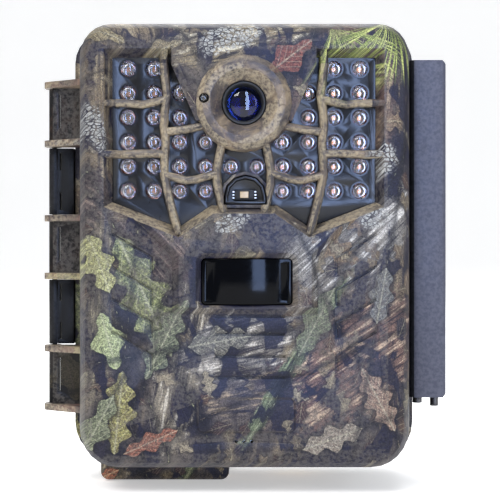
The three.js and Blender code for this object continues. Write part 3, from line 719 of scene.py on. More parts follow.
LEAVES = (
    Leaf(-31, -16, -66, 21, 8.5, 5.0, (166, 170, 112), (72, 78, 62)),
    Leaf(-25, -30, 64, 13, 5.5, 4.0, (142, 148, 116), (64, 68, 62)),
    Leaf(-42, -30, -74, 9, 6.0, 2.0, (196, 204, 148), (128, 136, 96)),
    Leaf(-45, -6, -70, 10, 5.2, 3.0, (200, 200, 138), (126, 122, 78)),
    Leaf(-39, -52, 84, 13, 6.0, 4.0, (182, 178, 112), (104, 92, 62)),
    Leaf(-46, -57, 62, 12, 5.0, 3.0, (156, 160, 122), (78, 82, 66)),
    Leaf(-29, -61, 24, 9.5, 3.4, 3.0, (176, 116, 92), (96, 62, 54)),
    Leaf(13, 57, 38, 9.5, 5.2, 2.0, (150, 92, 76), (84, 50, 46)),
    Leaf(-26, 60, 20, 7, 3.4, 2.0, (172, 158, 122), (92, 82, 62)),
    Leaf(-8, -30, 10, 10, 5.2, 3.0, (142, 138, 120), (76, 74, 72)),
    Leaf(22, -24, 62, 12, 5.0, 3.0, (138, 146, 112), (68, 74, 62)),
    Leaf(41, -48, 118, 11, 5.0, 4.0, (184, 158, 132), (106, 84, 74)),
    Leaf(27, -60, 20, 10, 4.6, 3.0, (190, 180, 158), (112, 98, 86)),
    Leaf(42, -16, 80, 9, 4.2, 3.0, (140, 140, 130), (72, 72, 76)),
    Leaf(-44, 66, -30, 8, 3.8, 2.0, (162, 148, 110), (90, 80, 60)),
)

LICHEN = ((-4, 64, 12, 5), (36, 35, 6, 4.5), (42, 27, 5, 6), (-46, 36, 3.5, 9), (40, 8, 5, 3.5), (-6, 5, 6, 3))
NEEDLES = ((27, 67, 25, -62), (46, 71, 22, -105))


def leaf_cut() -> bpy.types.NodeTree:
    """The outline, veins and soft surround of one leaf.

    Returns:
        A group with Local (mm along and across), Length, Width, Lobes and Ragged in, Mask, Vein and Round out.
    """
    effect = Effect("leaf_cut", {"Local": None, "Length": 10.0, "Width": 5.0, "Lobes": 3.0, "Ragged": 0.5},
                    {"Mask": "FLOAT", "Vein": "FLOAT", "Round": "FLOAT"})
    web = effect.web
    parts = web.add("ShaderNodeSeparateXYZ", {0: effect.given("Local")})
    along = web.math("DIVIDE", parts.outputs[0], effect.given("Length"))
    across = web.math("ABSOLUTE", web.math("DIVIDE", parts.outputs[1], effect.given("Width")))
    square = web.math("MULTIPLY", along, along)
    belly = web.math("POWER", web.math("SUBTRACT", 1.0, square, clamp=True), 0.8)
    swing = web.math("COSINE", web.math("MULTIPLY", web.math("MULTIPLY", along, effect.given("Lobes")), 3.14159))
    outline = web.math("MULTIPLY", belly, web.math("MULTIPLY_ADD", swing, 0.26, 0.74))
    ragged = web.math("MULTIPLY", web.math("SUBTRACT", effect.given("Ragged"), 0.5), 0.35)
    inside = web.math("ADD", web.math("SUBTRACT", outline, across), ragged)
    effect.result("Mask", web.step(inside, 0.0, 0.07))
    effect.result("Round", web.step(inside, -0.42, 0.05))
    rib = web.step(across, 0.09, 0.0)
    lean = web.math("SUBTRACT", web.math("MULTIPLY", along, 1.4), across)
    fan = web.math("SINE", web.math("MULTIPLY", lean, 16.0))
    side = web.math("MULTIPLY", web.step(fan, 0.82, 1.0), 0.6)
    effect.result("Vein", web.math("MAXIMUM", rib, side))
    return effect.tree


def loose_leaves(cut: bpy.types.NodeTree) -> bpy.types.NodeTree:
    """Leaves strewn at random, one in each cell.

    Args:
        cut: The leaf outline group.

    Returns:
        A group with Vector (mm), Fine and Ragged in, Mask, Vein, Round and Tone out.
    """
    effect = Effect("loose_leaves", {"Vector": None, "Fine": 0.08, "Ragged": 0.5},
                    {"Mask": "FLOAT", "Vein": "FLOAT", "Round": "FLOAT", "Tone": "FLOAT"})
    web = effect.web
    cell = web.add("ShaderNodeTexVoronoi", {"Vector": effect.given("Vector"), "Scale": effect.given("Fine")},
                   voronoi_dimensions="2D")
    local = web.vector("SUBTRACT", effect.given("Vector"), cell.outputs["Position"])
    chance = web.add("ShaderNodeSeparateColor", {0: cell.outputs["Color"]})
    turn = web.add("ShaderNodeVectorRotate", {"Vector": local, "Angle": web.math(
        "MULTIPLY", chance.outputs[0], 6.283)}, rotation_type="Z_AXIS")
    reach = web.math("DIVIDE", web.math("MULTIPLY_ADD", chance.outputs[1], 0.3, 0.45), effect.given("Fine"))
    leaf = web.group(cut, {"Local": turn.outputs[0], "Length": reach, "Width": web.math("MULTIPLY", reach, 0.45),
                           "Lobes": web.math("MULTIPLY_ADD", chance.outputs[2], 4.0, 1.0),
                           "Ragged": effect.given("Ragged")})
    for key in ("Mask", "Vein", "Round"):
        effect.result(key, leaf.outputs[key])
    effect.result("Tone", chance.outputs[2])
    return effect.tree


def pine_needles() -> bpy.types.NodeTree:
    """A spray of needles that leaves one point, the Y axis of Local being its middle line.

    Returns:
        A group with Local (mm) and Reach (mm) in, Mask and Tone out.
    """
    effect = Effect("pine_needles", {"Local": None, "Reach": 20.0}, {"Mask": "FLOAT", "Tone": "FLOAT"})
    web = effect.web
    parts = web.add("ShaderNodeSeparateXYZ", {0: effect.given("Local")})
    angle = web.math("ARCTAN2", parts.outputs[1], parts.outputs[0])
    away = web.vector("LENGTH", effect.given("Local"))
    bend = web.math("MULTIPLY", away, 0.006)
    spoke = web.add("ShaderNodeCombineXYZ", {0: web.math("MULTIPLY", web.math("ADD", angle, bend), 13.0),
                                             1: web.math("MULTIPLY", away, 0.02)})
    tone = web.noise(spoke.outputs[0], 1.6, 1.0, 0.5)
    needle = web.step(tone, 0.48, 0.54)
    near = web.step(web.math("DIVIDE", away, effect.given("Reach")), 1.05, 0.7)
    fan = web.step(web.math("ABSOLUTE", angle), 1.05, 0.75)
    effect.result("Mask", web.math("MULTIPLY", needle, web.math("MULTIPLY", near, fan)))
    effect.result("Tone", web.noise(spoke.outputs[0], 4.0, 2.0))
    return effect.tree


class WoodlandPrint:
    """Builds the group that colours the printed shells, shared by every camouflaged piece."""

    def __init__(self) -> None:
        """Makes the group and its parts."""
        self.cut = leaf_cut()
        self.strewn = loose_leaves(self.cut)
        self.needles = pine_needles()
        self.effect = Effect("woodland_print", {"Vector": None}, {"Colour": "COLOR", "Ink": "FLOAT"})
        self.web = self.effect.web
        self.flat = self._flat_vector(self.effect.given("Vector"))
        self.ragged = self.web.noise(self.flat, 0.45, 4.0, 0.65)
        colour = self._ground()
        for patch in PATCHES:
            colour = self._with_patch(self._upon(colour), patch)
        colour = self._with_litter(self._upon(colour))
        colour = self._with_pockets(colour)
        for leaf in LEAVES:
            colour = self._with_leaf(self._upon(colour), leaf)
        colour = self._with_lichen(colour)
        colour = self._with_needles(colour)
        self.effect.result("Colour", self._aged(colour))
        self.effect.result("Ink", self.ragged)
        self.tree = self.effect.tree

    def _upon(self, below: Socket) -> Socket:
        """Makes the next layer wait for the one below, which keeps the shader's memory small.

        Args:
            below: The colour so far.

        Returns:
            The same colour.
        """
        node = self.web.add("ShaderNodeVectorMath", {0: below, 1: (1e-5, 1e-5, 1e-5), 2: self.flat},
                            operation="MULTIPLY_ADD")
        self.flat = node.outputs[0]
        return below

    def _flat_vector(self, vector: Socket) -> Socket:
        """Lays the print over the depth, so that it runs round the sides without stretching.

        Args:
            vector: Place in millimetres.

        Returns:
            The flat place.
        """
        parts = self.web.add("ShaderNodeSeparateXYZ", {0: vector})
        depth = self.web.math("ADD", parts.outputs[1], 69.0)
        across = self.web.math("MULTIPLY_ADD", depth, 0.75, parts.outputs[0])
        height = self.web.math("MULTIPLY_ADD", depth, 0.6, parts.outputs[2])
        return self.web.add("ShaderNodeCombineXYZ", {0: across, 1: height}).outputs[0]

    def _streaks(self, turn: float, streak: tuple[float, float], seed: float) -> Socket:
        """Noise drawn out in one direction.

        Args:
            turn: Direction of the streaks in degrees.
            streak: How fine it is along and across.
            seed: Shifts the noise.

        Returns:
            The noise.
        """
        turned_vector = self.web.mapped(self.flat, rotation=(0, 0, -math.radians(turn)))
        drawn = self.web.mapped(turned_vector, location=(seed, seed, 0), scale=(streak[0], streak[1], 1))
        return self.web.noise(drawn, 1.0, 6.0, 0.62, 0.35)

    def _ground(self) -> Socket:
        """Dark forest floor and blurred trunks.

        Returns:
            The colour.
        """
        slow = self.web.noise(self.flat, 0.055, 6.0, 0.6, 0.5)
        floor = self.web.ramp(slow, (
            (0.34, paint(24, 25, 42)), (0.47, paint(52, 50, 60)),
            (0.57, paint(96, 88, 80)), (0.7, paint(142, 128, 104))))
        trunk = self._streaks(86, (0.02, 0.2), 3.0)
        bark = self.web.ramp(trunk, (
            (0.36, paint(30, 31, 48)), (0.52, paint(84, 76, 70)), (0.66, paint(152, 136, 108))))
        return self.web.mix(self.web.step(self.web.noise(self.flat, 0.03, 2.0), 0.4, 0.6), floor, bark)

    def _with_patch(self, below: Socket, patch: Patch) -> Socket:
        """Lays one patch over what is below it.

        Args:
            below: The colour so far.
            patch: The patch.

        Returns:
            The new colour.
        """
        local = self.web.mapped(self.flat, (patch.x, patch.z, 0), (0, 0, math.radians(patch.turn)),
                                (patch.half_long, patch.half_wide, 1), "TEXTURE")
        reach = self.web.vector("LENGTH", local)
        broken = self.web.math("MULTIPLY_ADD", self.ragged, 0.9, self.web.math("SUBTRACT", reach, 0.45))
        share = self.web.math("MULTIPLY", self.web.step(broken, 1.12, 0.84), patch.strength)
        fibre = self._streaks(patch.turn, patch.streak, patch.x)
        dark, middle, light = (paint(*colour) for colour in patch.colours)
        colour = self.web.ramp(fibre, ((0.4, dark), (0.47, middle), (0.53, middle), (0.6, light)))
        return self.web.mix(share, below, colour)

    def _with_litter(self, below: Socket) -> Socket:
        """Strews small leaves over the ground in two sizes.

        Args:
            below: The colour so far.

        Returns:
            The new colour.
        """
        tones = (
            ((0.0, paint(58, 48, 50)), (0.35, paint(118, 92, 72)),
             (0.6, paint(112, 112, 84)), (0.85, paint(156, 132, 104))),
            ((0.0, paint(44, 44, 62)), (0.4, paint(96, 66, 56)),
             (0.7, paint(148, 132, 104)), (1.0, paint(184, 172, 144))),
        )
        for fine, seed, cover, stops in ((0.062, 0.0, 0.58, tones[0]), (0.11, 40.0, 0.53, tones[1])):
            moved = self.web.mapped(self.flat, location=(seed, seed, 0))
            leaf = self.web.group(self.strewn, {"Vector": moved, "Fine": fine, "Ragged": self.ragged})
            where = self.web.step(self.web.noise(moved, 0.05, 2.0), cover - 0.08, cover)
            colour = self.web.ramp(leaf.outputs["Tone"], stops)
            colour = self.web.mix(self.web.math("MULTIPLY", self.ragged, 0.75), colour, paint(36, 34, 44))
            vein = self.web.math("MULTIPLY", leaf.outputs["Vein"], 0.45)
            colour = self.web.mix(vein, colour, paint(196, 186, 150))
            shade = self.web.math("MULTIPLY", leaf.outputs["Round"], self.web.math("MULTIPLY", where, 0.6))
            below = self.web.mix(shade, below, paint(18, 18, 30))
            below = self.web.mix(self.web.math("MULTIPLY", leaf.outputs["Mask"], where), below, colour)
            below = self._upon(below)
        return below

    def _with_leaf(self, below: Socket, leaf: Leaf) -> Socket:
        """Lays one large leaf and the shade round it over what is below.

        Args:
            below: The colour so far.
            leaf: The leaf.

        Returns:
            The new colour.
        """
        local = self.web.mapped(
            self.flat, (leaf.x, leaf.z, 0), (0, 0, math.radians(leaf.turn)), (1, 1, 1), "TEXTURE")
        cut = self.web.group(self.cut, {"Local": local, "Length": leaf.length, "Width": leaf.width,
                                        "Lobes": leaf.lobes, "Ragged": self.ragged})
        blot = self.web.noise(local, 0.7, 6.0, 0.78)
        colour = self.web.ramp(blot, ((0.36, paint(*leaf.dark)), (0.5, paint(*(
            (a + b) // 2 for a, b in zip(leaf.light, leaf.dark)))), (0.62, paint(*leaf.light))))
        speck = self.web.step(self.web.noise(local, 0.9, 5.0, 0.72), 0.5, 0.62)
        colour = self.web.mix(self.web.math("MULTIPLY", speck, 0.6), colour, paint(44, 46, 48))
        colour = self.web.mix(self.web.math("MULTIPLY", cut.outputs["Vein"], 0.34), colour, paint(216, 212, 178))
        below = self.web.mix(self.web.math("MULTIPLY", cut.outputs["Round"], 0.75), below, paint(16, 17, 30))
        return self.web.mix(cut.outputs["Mask"], below, colour)

    def _with_lichen(self, below: Socket) -> Socket:
        """Pale crackled growth in a few places.

        Args:
            below: The colour so far.

        Returns:
            The new colour.
        """
        crack = self.web.cells(self.web.mapped(self.flat, scale=(1, 1.4, 1)), 0.62, "DISTANCE_TO_EDGE")
        flake = self.web.step(self.web.math("ADD", crack, self.web.math("MULTIPLY", self.ragged, 0.4)), 0.26, 0.34)
        colour = self.web.mix(self.ragged, paint(226, 226, 214), paint(122, 124, 116))
        for x, z, half_long, half_wide in LICHEN:
            local = self.web.mapped(self.flat, (x, z, 0), (0, 0, 0.4), (half_long, half_wide, 1), "TEXTURE")
            uneven = self.web.math("MULTIPLY", self.ragged, 0.9)
            reach = self.web.math("ADD", self.web.vector("LENGTH", local), uneven)
            share = self.web.math("MULTIPLY", self.web.step(reach, 1.5, 1.2), flake)
            below = self._upon(self.web.mix(self.web.math("MULTIPLY", share, 0.85), below, colour))
        return below

    def _with_needles(self, below: Socket) -> Socket:
        """Sprays of pine needles.

        Args:
            below: The colour so far.

        Returns:
            The new colour.
        """
        for x, z, reach, turn in NEEDLES:
            local = self.web.mapped(self.flat, (x, z, 0), (0, 0, math.radians(turn)), (1, 1, 1), "TEXTURE")
            spray = self.web.group(self.needles, {"Local": local, "Reach": reach})
            colour = self.web.ramp(spray.outputs["Tone"], ((0.35, paint(72, 88, 42)), (0.5, paint(142, 156, 78)),
                                                           (0.64, paint(222, 222, 138))))
            below = self._upon(self.web.mix(spray.outputs["Mask"], below, colour))
        return below

    def _aged(self, colour: Socket) -> Socket:
        """Adds the fine tooth of the print and its dark pockets.

        Args:
            colour: The colour so far.

        Returns:
            The new colour.
        """
        tooth = self.web.noise(self.flat, 1.9, 5.0, 0.75)
        grit = self.web.ramp(tooth, (
            (0.36, (0.2, 0.21, 0.27, 1)), (0.5, (0.95, 0.95, 0.97, 1)), (0.62, (1.9, 1.86, 1.78, 1))))
        colour = self.web.mix(0.7, colour, grit, "MULTIPLY")
        crease = self.web.math("ABSOLUTE", self.web.math("SUBTRACT", self.web.noise(
            self.flat, 0.32, 4.0, 0.6, 0.8), 0.5))
        line = self.web.math("MULTIPLY", self.web.step(crease, 0.018, 0.0), 0.75)
        return self.web.mix(line, colour, paint(12, 13, 26))

    def _with_pockets(self, colour: Socket) -> Socket:
        """Sharp-edged gaps of deep blue shade between the growth.

        Args:
            colour: The colour so far.

        Returns:
            The new colour.
        """
        shape = self.web.noise(self.web.mapped(self.flat, scale=(1.25, 0.8, 1)), 0.085, 4.0, 0.52, 0.7)
        pocket = self.web.step(shape, 0.475, 0.455)
        soft = self.web.step(shape, 0.56, 0.47)
        colour = self.web.mix(self.web.math("MULTIPLY", soft, 0.45), colour, paint(30, 31, 48))
        depth = self.web.mix(self.ragged, paint(16, 18, 40), paint(30, 32, 56))
        return self._upon(self.web.mix(self.web.math("MULTIPLY", pocket, 0.9), colour, depth))


# ------------------------------------------------------------------ finishes


class Effects:
    """The effect groups that finishes share, made once."""

    def __init__(self) -> None:
        """Makes the groups."""
        self.grain = moulded_grain()
        self.wear = edge_wear()
        self.dust = settled_dust()
        self.print = WoodlandPrint().tree


EFFECTS = Effects()
DUST = paint(150, 142, 128)


@dataclass
class Surface:
    """One material being built: its nodes, its shader and where it is read."""

    name: str
    material: bpy.types.Material = field(init=False)
    web: Web = field(init=False)
    shader: bpy.types.Node = field(init=False)
    where: Socket = field(init=False)

    def __post_init__(self) -> None:
        """Makes the material with its shader, and a vector in millimetres."""
        self.material = bpy.data.materials.new(self.name)
        self.material.use_nodes = True
        self.web = Web(self.material.node_tree)
        self.shader = next(n for n in self.material.node_tree.nodes if n.type == "BSDF_PRINCIPLED")
        coordinates = self.web.add("ShaderNodeTexCoord").outputs["Object"]
        self.where = self.web.mapped(coordinates, scale=(1000, 1000, 1000))

    def put(self, **values: object) -> None:
        """Sets shader inputs; an underscore in a name stands for a space."""
        for key, value in values.items():
            self.web.put(self.shader.inputs[key.replace("_", " ")], value)

    def dusty(self, colour: object, amount: float) -> Socket:
        """Lays dust over a colour."""
        dust = self.web.group(EFFECTS.dust, {"Vector": self.where}).outputs["Dust"]
        return self.web.mix(self.web.math("MULTIPLY", dust, amount), colour, DUST)

    def bump(self, height: Socket, depth: float, normal: Socket | None = None) -> Socket:
        """A bumped normal whose relief is some millimetres deep.

        Args:
            height: The relief, 0 to 1.
            depth: Its depth in millimetres.
            normal: A normal to start from, or None.

        Returns:
            The bumped normal.
        """
        inputs = {"Height": height, "Strength": 1.0, "Distance": depth * MM}
        if normal is not None:
            inputs["Normal"] = normal
        return self.web.add("ShaderNodeBump", inputs).outputs[0]


@dataclass(frozen=True)
class PrintedFilm:
    """Camouflage film over moulded plastic, rubbed through at its edges, whose lighter edge lines are also a
    painted highlight.
    """

    name: str
    rough: float = 0.44
    # Strength of the rubbed edges and scuffs; on the edges it is also a painted highlight.
    wear: float = 0.45
    dust: float = 0.08
    shade: tuple[int, int, int] = (216, 220, 234)

    def material(self) -> bpy.types.Material:
        """Builds the material.

        Returns:
            The material.
        """
        on = Surface(self.name)
        web = on.web
        inked = web.group(EFFECTS.print, {"Vector": on.where})
        wear = web.group(EFFECTS.wear, {"Vector": on.where})
        grain = web.group(EFFECTS.grain, {"Vector": on.where, "Fine": 2.4, "Wave": 0.5})
        colour = web.mix(1.0, inked.outputs["Colour"], paint(*self.shade), "MULTIPLY")
        # Edges drawn toward a mid grey: partly rubbed-through film, partly a painted highlight along the rounded
        # edges.
        colour = web.mix(web.math("MULTIPLY", wear.outputs["Edge"], self.wear), colour, paint(96, 92, 90))
        colour = web.mix(web.math("MULTIPLY", wear.outputs["Scuff"], self.wear * 0.5), colour, paint(120, 114, 106))
        on.put(Base_Color=on.dusty(colour, self.dust))
        rough = web.math("MULTIPLY_ADD", grain.outputs["Rough"], 0.3, self.rough - 0.15)
        on.put(Roughness=web.math("ADD", rough, web.math("MULTIPLY", wear.outputs["Scuff"], 0.15)))
        on.put(Normal=on.bump(grain.outputs["Height"], 0.04), Specular_IOR_Level=0.22)
        return on.material


@dataclass(frozen=True)
class BarkFilm:
    """The grey-tan bark of the raised branches and the lens surround."""

    name: str
    pale: tuple[int, int, int] = (136, 124, 106)
    middle: tuple[int, int, int] = (88, 81, 76)
    deep: tuple[int, int, int] = (40, 38, 46)

    def material(self) -> bpy.types.Material:
        """Builds the material.

        Returns:
            The material.
        """
        on = Surface(self.name)
        web = on.web
        slow = web.noise(on.where, 0.13, 5.0, 0.62, 0.6)
        colour = web.ramp(slow, ((0.34, paint(*self.deep)), (0.5, paint(*self.middle)), (0.63, paint(*self.pale))))
        inked = web.group(EFFECTS.print, {"Vector": on.where}).outputs["Colour"]
        colour = web.mix(0.32, colour, inked)
        knots = web.step(web.noise(web.mapped(on.where, scale=(0.5, 0.5, 1.4)), 0.6, 4.0, 0.7), 0.56, 0.66)
        colour = web.mix(web.math("MULTIPLY", knots, 0.55), colour, paint(44, 40, 46))
        wear = web.group(EFFECTS.wear, {"Vector": on.where})
        colour = web.mix(web.math("MULTIPLY", wear.outputs["Edge"], 0.55), colour, paint(172, 160, 136))
        grain = web.group(EFFECTS.grain, {"Vector": on.where, "Fine": 1.8, "Wave": 0.7})
        rough = web.math("MULTIPLY_ADD", grain.outputs["Rough"], 0.3, 0.32)
        on.put(Base_Color=on.dusty(colour, 0.08), Roughness=rough)
        relief = web.math("ADD", grain.outputs["Height"], web.math("MULTIPLY", knots, -0.8))
        on.put(Normal=on.bump(relief, 0.09), Specular_IOR_Level=0.35)
        return on.material


@dataclass(frozen=True)
class Plastic:
    """Moulded plastic, rubber or paint, with its grain, wear and dust."""

    name: str
    colour: tuple[int, int, int]
    worn: tuple[int, int, int]
    rough: float = 0.5
    fine: float = 2.5
    depth: float = 0.04
    wear: float = 0.4
    dust: float = 0.3
    metallic: float = 0.0
    coat: float = 0.0
    wave: float = 0.3
    shine: float = 0.4

    def material(self) -> bpy.types.Material:
        """Builds the material.

        Returns:
            The material.
        """
        on = Surface(self.name)
        web = on.web
        wear = web.group(EFFECTS.wear, {"Vector": on.where})
        grain = web.group(EFFECTS.grain, {"Vector": on.where, "Fine": self.fine, "Wave": self.wave})
        darker = tuple(int(part * 0.8) for part in self.colour)
        colour = web.mix(grain.outputs["Rough"], paint(*self.colour), paint(*darker))
        colour = web.mix(web.math("MULTIPLY", wear.outputs["Edge"], self.wear), colour, paint(*self.worn))
        colour = web.mix(web.math("MULTIPLY", wear.outputs["Scuff"], self.wear * 0.7), colour, paint(*self.worn))
        rough = web.math("MULTIPLY_ADD", grain.outputs["Rough"], 0.28, self.rough - 0.14)
        on.put(Base_Color=on.dusty(colour, self.dust), Metallic=self.metallic, Roughness=rough,
               Normal=on.bump(grain.outputs["Height"], self.depth), Coat_Weight=self.coat, Coat_Roughness=0.15,
               Specular_IOR_Level=self.shine)
        return on.material


@dataclass(frozen=True)
class Metal:
    """Bare or blackened metal, turned, drawn or plated."""

    name: str
    colour: tuple[int, int, int]
    tarnish: tuple[int, int, int]
    rough: float = 0.28
    draw: tuple[float, float, float] = (1.0, 1.0, 12.0)

    def material(self) -> bpy.types.Material:
        """Builds the material.

        Returns:
            The material.
        """
        on = Surface(self.name)
        web = on.web
        lines = web.noise(web.mapped(on.where, scale=self.draw), 1.4, 3.0, 0.6)
        cloud = web.noise(on.where, 0.35, 5.0, 0.65)
        wear = web.group(EFFECTS.wear, {"Vector": on.where})
        colour = web.mix(web.step(cloud, 0.5, 0.7), paint(*self.colour), paint(*self.tarnish))
        bright = tuple(min(255, part + 50) for part in self.colour)
        colour = web.mix(web.math("MULTIPLY", wear.outputs["Edge"], 0.5), colour, paint(*bright))
        rough = web.math("ADD", web.math("MULTIPLY", lines, 0.18), web.math("MULTIPLY", cloud, 0.16))
        on.put(Base_Color=on.dusty(colour, 0.12), Metallic=1.0, Normal=on.bump(lines, 0.012),
               Roughness=web.math("ADD", rough, self.rough - 0.17))
        return on.material


@dataclass(frozen=True)
class Clear:
    """Glass or clear resin; the tint is its own colour."""

    name: str
    tint: tuple[int, int, int]
    rough: float = 0.03
    through: float = 1.0
    bend: float = 1.5
    coat: float = 0.0

    def material(self) -> bpy.types.Material:
        """Builds the material.

        Returns:
            The material.
        """
        on = Surface(self.name)
        web = on.web
        smear = web.noise(on.where, 0.3, 4.0, 0.6, 0.8)
        edge = tuple(int(part * 0.86) for part in self.tint)
        on.put(Base_Color=web.mix(smear, paint(*self.tint), paint(*edge)), Metallic=0.0, IOR=self.bend,
               Transmission_Weight=self.through, Coat_Weight=self.coat, Coat_Roughness=0.05,
               Roughness=web.math("MULTIPLY_ADD", web.step(smear, 0.5, 0.75), 0.06, self.rough))
        return on.material


@dataclass(frozen=True)
class Board:
    """Solder mask over copper runs, with plated holes and pale print."""

    name: str
    mask: tuple[int, int, int] = (24, 92, 52)

    def material(self) -> bpy.types.Material:
        """Builds the material.

        Returns:
            The material.
        """
        on = Surface(self.name)
        web = on.web
        flat = web.mapped(on.where, scale=(0.5, 0.5, 0.5))
        run = web.cells(flat, 0.55, "DISTANCE_TO_EDGE", 0.25)
        track = web.step(run, 0.09, 0.05)
        hole = web.step(web.cells(flat, 0.55, "F1", 0.3), 0.16, 0.1)
        cloud = web.noise(on.where, 0.4, 3.0)
        light = tuple(min(255, part + 26) for part in self.mask)
        dark = tuple(int(part * 0.72) for part in self.mask)
        colour = web.mix(track, paint(*self.mask), paint(*light))
        colour = web.mix(web.math("MULTIPLY", cloud, 0.6), colour, paint(*dark))
        on.put(Base_Color=on.dusty(web.mix(hole, colour, paint(196, 160, 92)), 0.2), Metallic=web.math(
            "MULTIPLY", hole, 0.9), Roughness=web.math("MULTIPLY_ADD", cloud, 0.2, 0.22),
            Normal=on.bump(web.math("SUBTRACT", track, hole), 0.05), Coat_Weight=0.3)
        return on.material


@dataclass(frozen=True)
class CellWrap:
    """The printed sleeve of a cell: a plain dark sleeve with a coppery end band."""

    name: str
    band_low: float
    band_high: float

    def material(self) -> bpy.types.Material:
        """Builds the material.

        Returns:
            The material.
        """
        on = Surface(self.name)
        web = on.web
        height = web.add("ShaderNodeSeparateXYZ", {0: on.where}).outputs[2]
        scuff = web.group(EFFECTS.wear, {"Vector": on.where})
        cloud = web.noise(on.where, 0.25, 4.0, 0.6)
        share = web.math("MULTIPLY", web.step(height, self.band_low, self.band_low + 0.3),
                         web.step(height, self.band_high, self.band_high - 0.3))
        colour = web.mix(share, paint(38, 44, 62), paint(176, 112, 62))
        colour = web.mix(web.math("MULTIPLY", cloud, 0.35), colour, paint(16, 18, 24))
        colour = web.mix(web.math("MULTIPLY", scuff.outputs["Scuff"], 0.5), colour, paint(150, 150, 150))
        on.put(Base_Color=on.dusty(colour, 0.2), Metallic=0.35, Coat_Weight=0.5, Coat_Roughness=0.12,
               Roughness=web.math("MULTIPLY_ADD", cloud, 0.25, 0.2), Normal=on.bump(cloud, 0.03))
        return on.material


@dataclass(frozen=True)
class Display:
    """The reflective face of a passive display, with its faint segment grid."""

    name: str

    def material(self) -> bpy.types.Material:
        """Builds the material.

        Returns:
            The material.
        """
        on = Surface(self.name)
        web = on.web
        parts = web.add("ShaderNodeSeparateXYZ", {0: on.where})
        lines = [web.step(web.math("ABSOLUTE", web.math("SUBTRACT", web.math("FRACT", web.math(
            "MULTIPLY", part, 1.6)), 0.5)), 0.4, 0.48) for part in (parts.outputs[0], parts.outputs[2])]
        grid = web.math("MAXIMUM", lines[0], lines[1])
        cloud = web.noise(on.where, 0.12, 3.0)
        colour = web.mix(cloud, paint(150, 160, 138), paint(126, 138, 118))
        colour = web.mix(web.math("MULTIPLY", grid, 0.22), colour, paint(78, 88, 74))
        on.put(Base_Color=colour, Roughness=web.math("MULTIPLY_ADD", cloud, 0.2, 0.25), Normal=on.bump(grid, 0.01))
        return on.material


@dataclass(frozen=True)
class CupMetal:
    """The plated cup round an LED, with a painted reflection: a cool grey-blue above, amber where its lower side
    looks up.
    """

    name: str
    cold_reflection: tuple[int, int, int] = (164, 172, 198)
    amber_reflection: tuple[int, int, int] = (190, 98, 36)

    def material(self) -> bpy.types.Material:
        """Builds the material.

        Returns:
            The material.
        """
        on = Surface(self.name)
        web = on.web
        up = web.add("ShaderNodeSeparateXYZ", {0: web.add("ShaderNodeNewGeometry").outputs["Normal"]}).outputs[2]
        cloud = web.noise(on.where, 0.35, 3.0)
        ripple = web.noise(on.where, 2.2, 3.0, 0.6)
        # Painted reflection: the world-space normal gives amber to faces that look up and the cool colour to the
        # rest.
        lean = web.math("MULTIPLY_ADD", web.math("SUBTRACT", cloud, 0.5), 2.6, up)
        colour = web.mix(web.step(lean, -0.1, 0.4), paint(*self.cold_reflection), paint(*self.amber_reflection))
        colour = web.mix(web.step(ripple, 0.44, 0.54), colour, paint(18, 16, 24))
        on.put(Base_Color=colour, Metallic=1.0, Roughness=web.math("MULTIPLY_ADD", ripple, 0.2, 0.1),
               Normal=on.bump(ripple, 0.12))
        return on.material


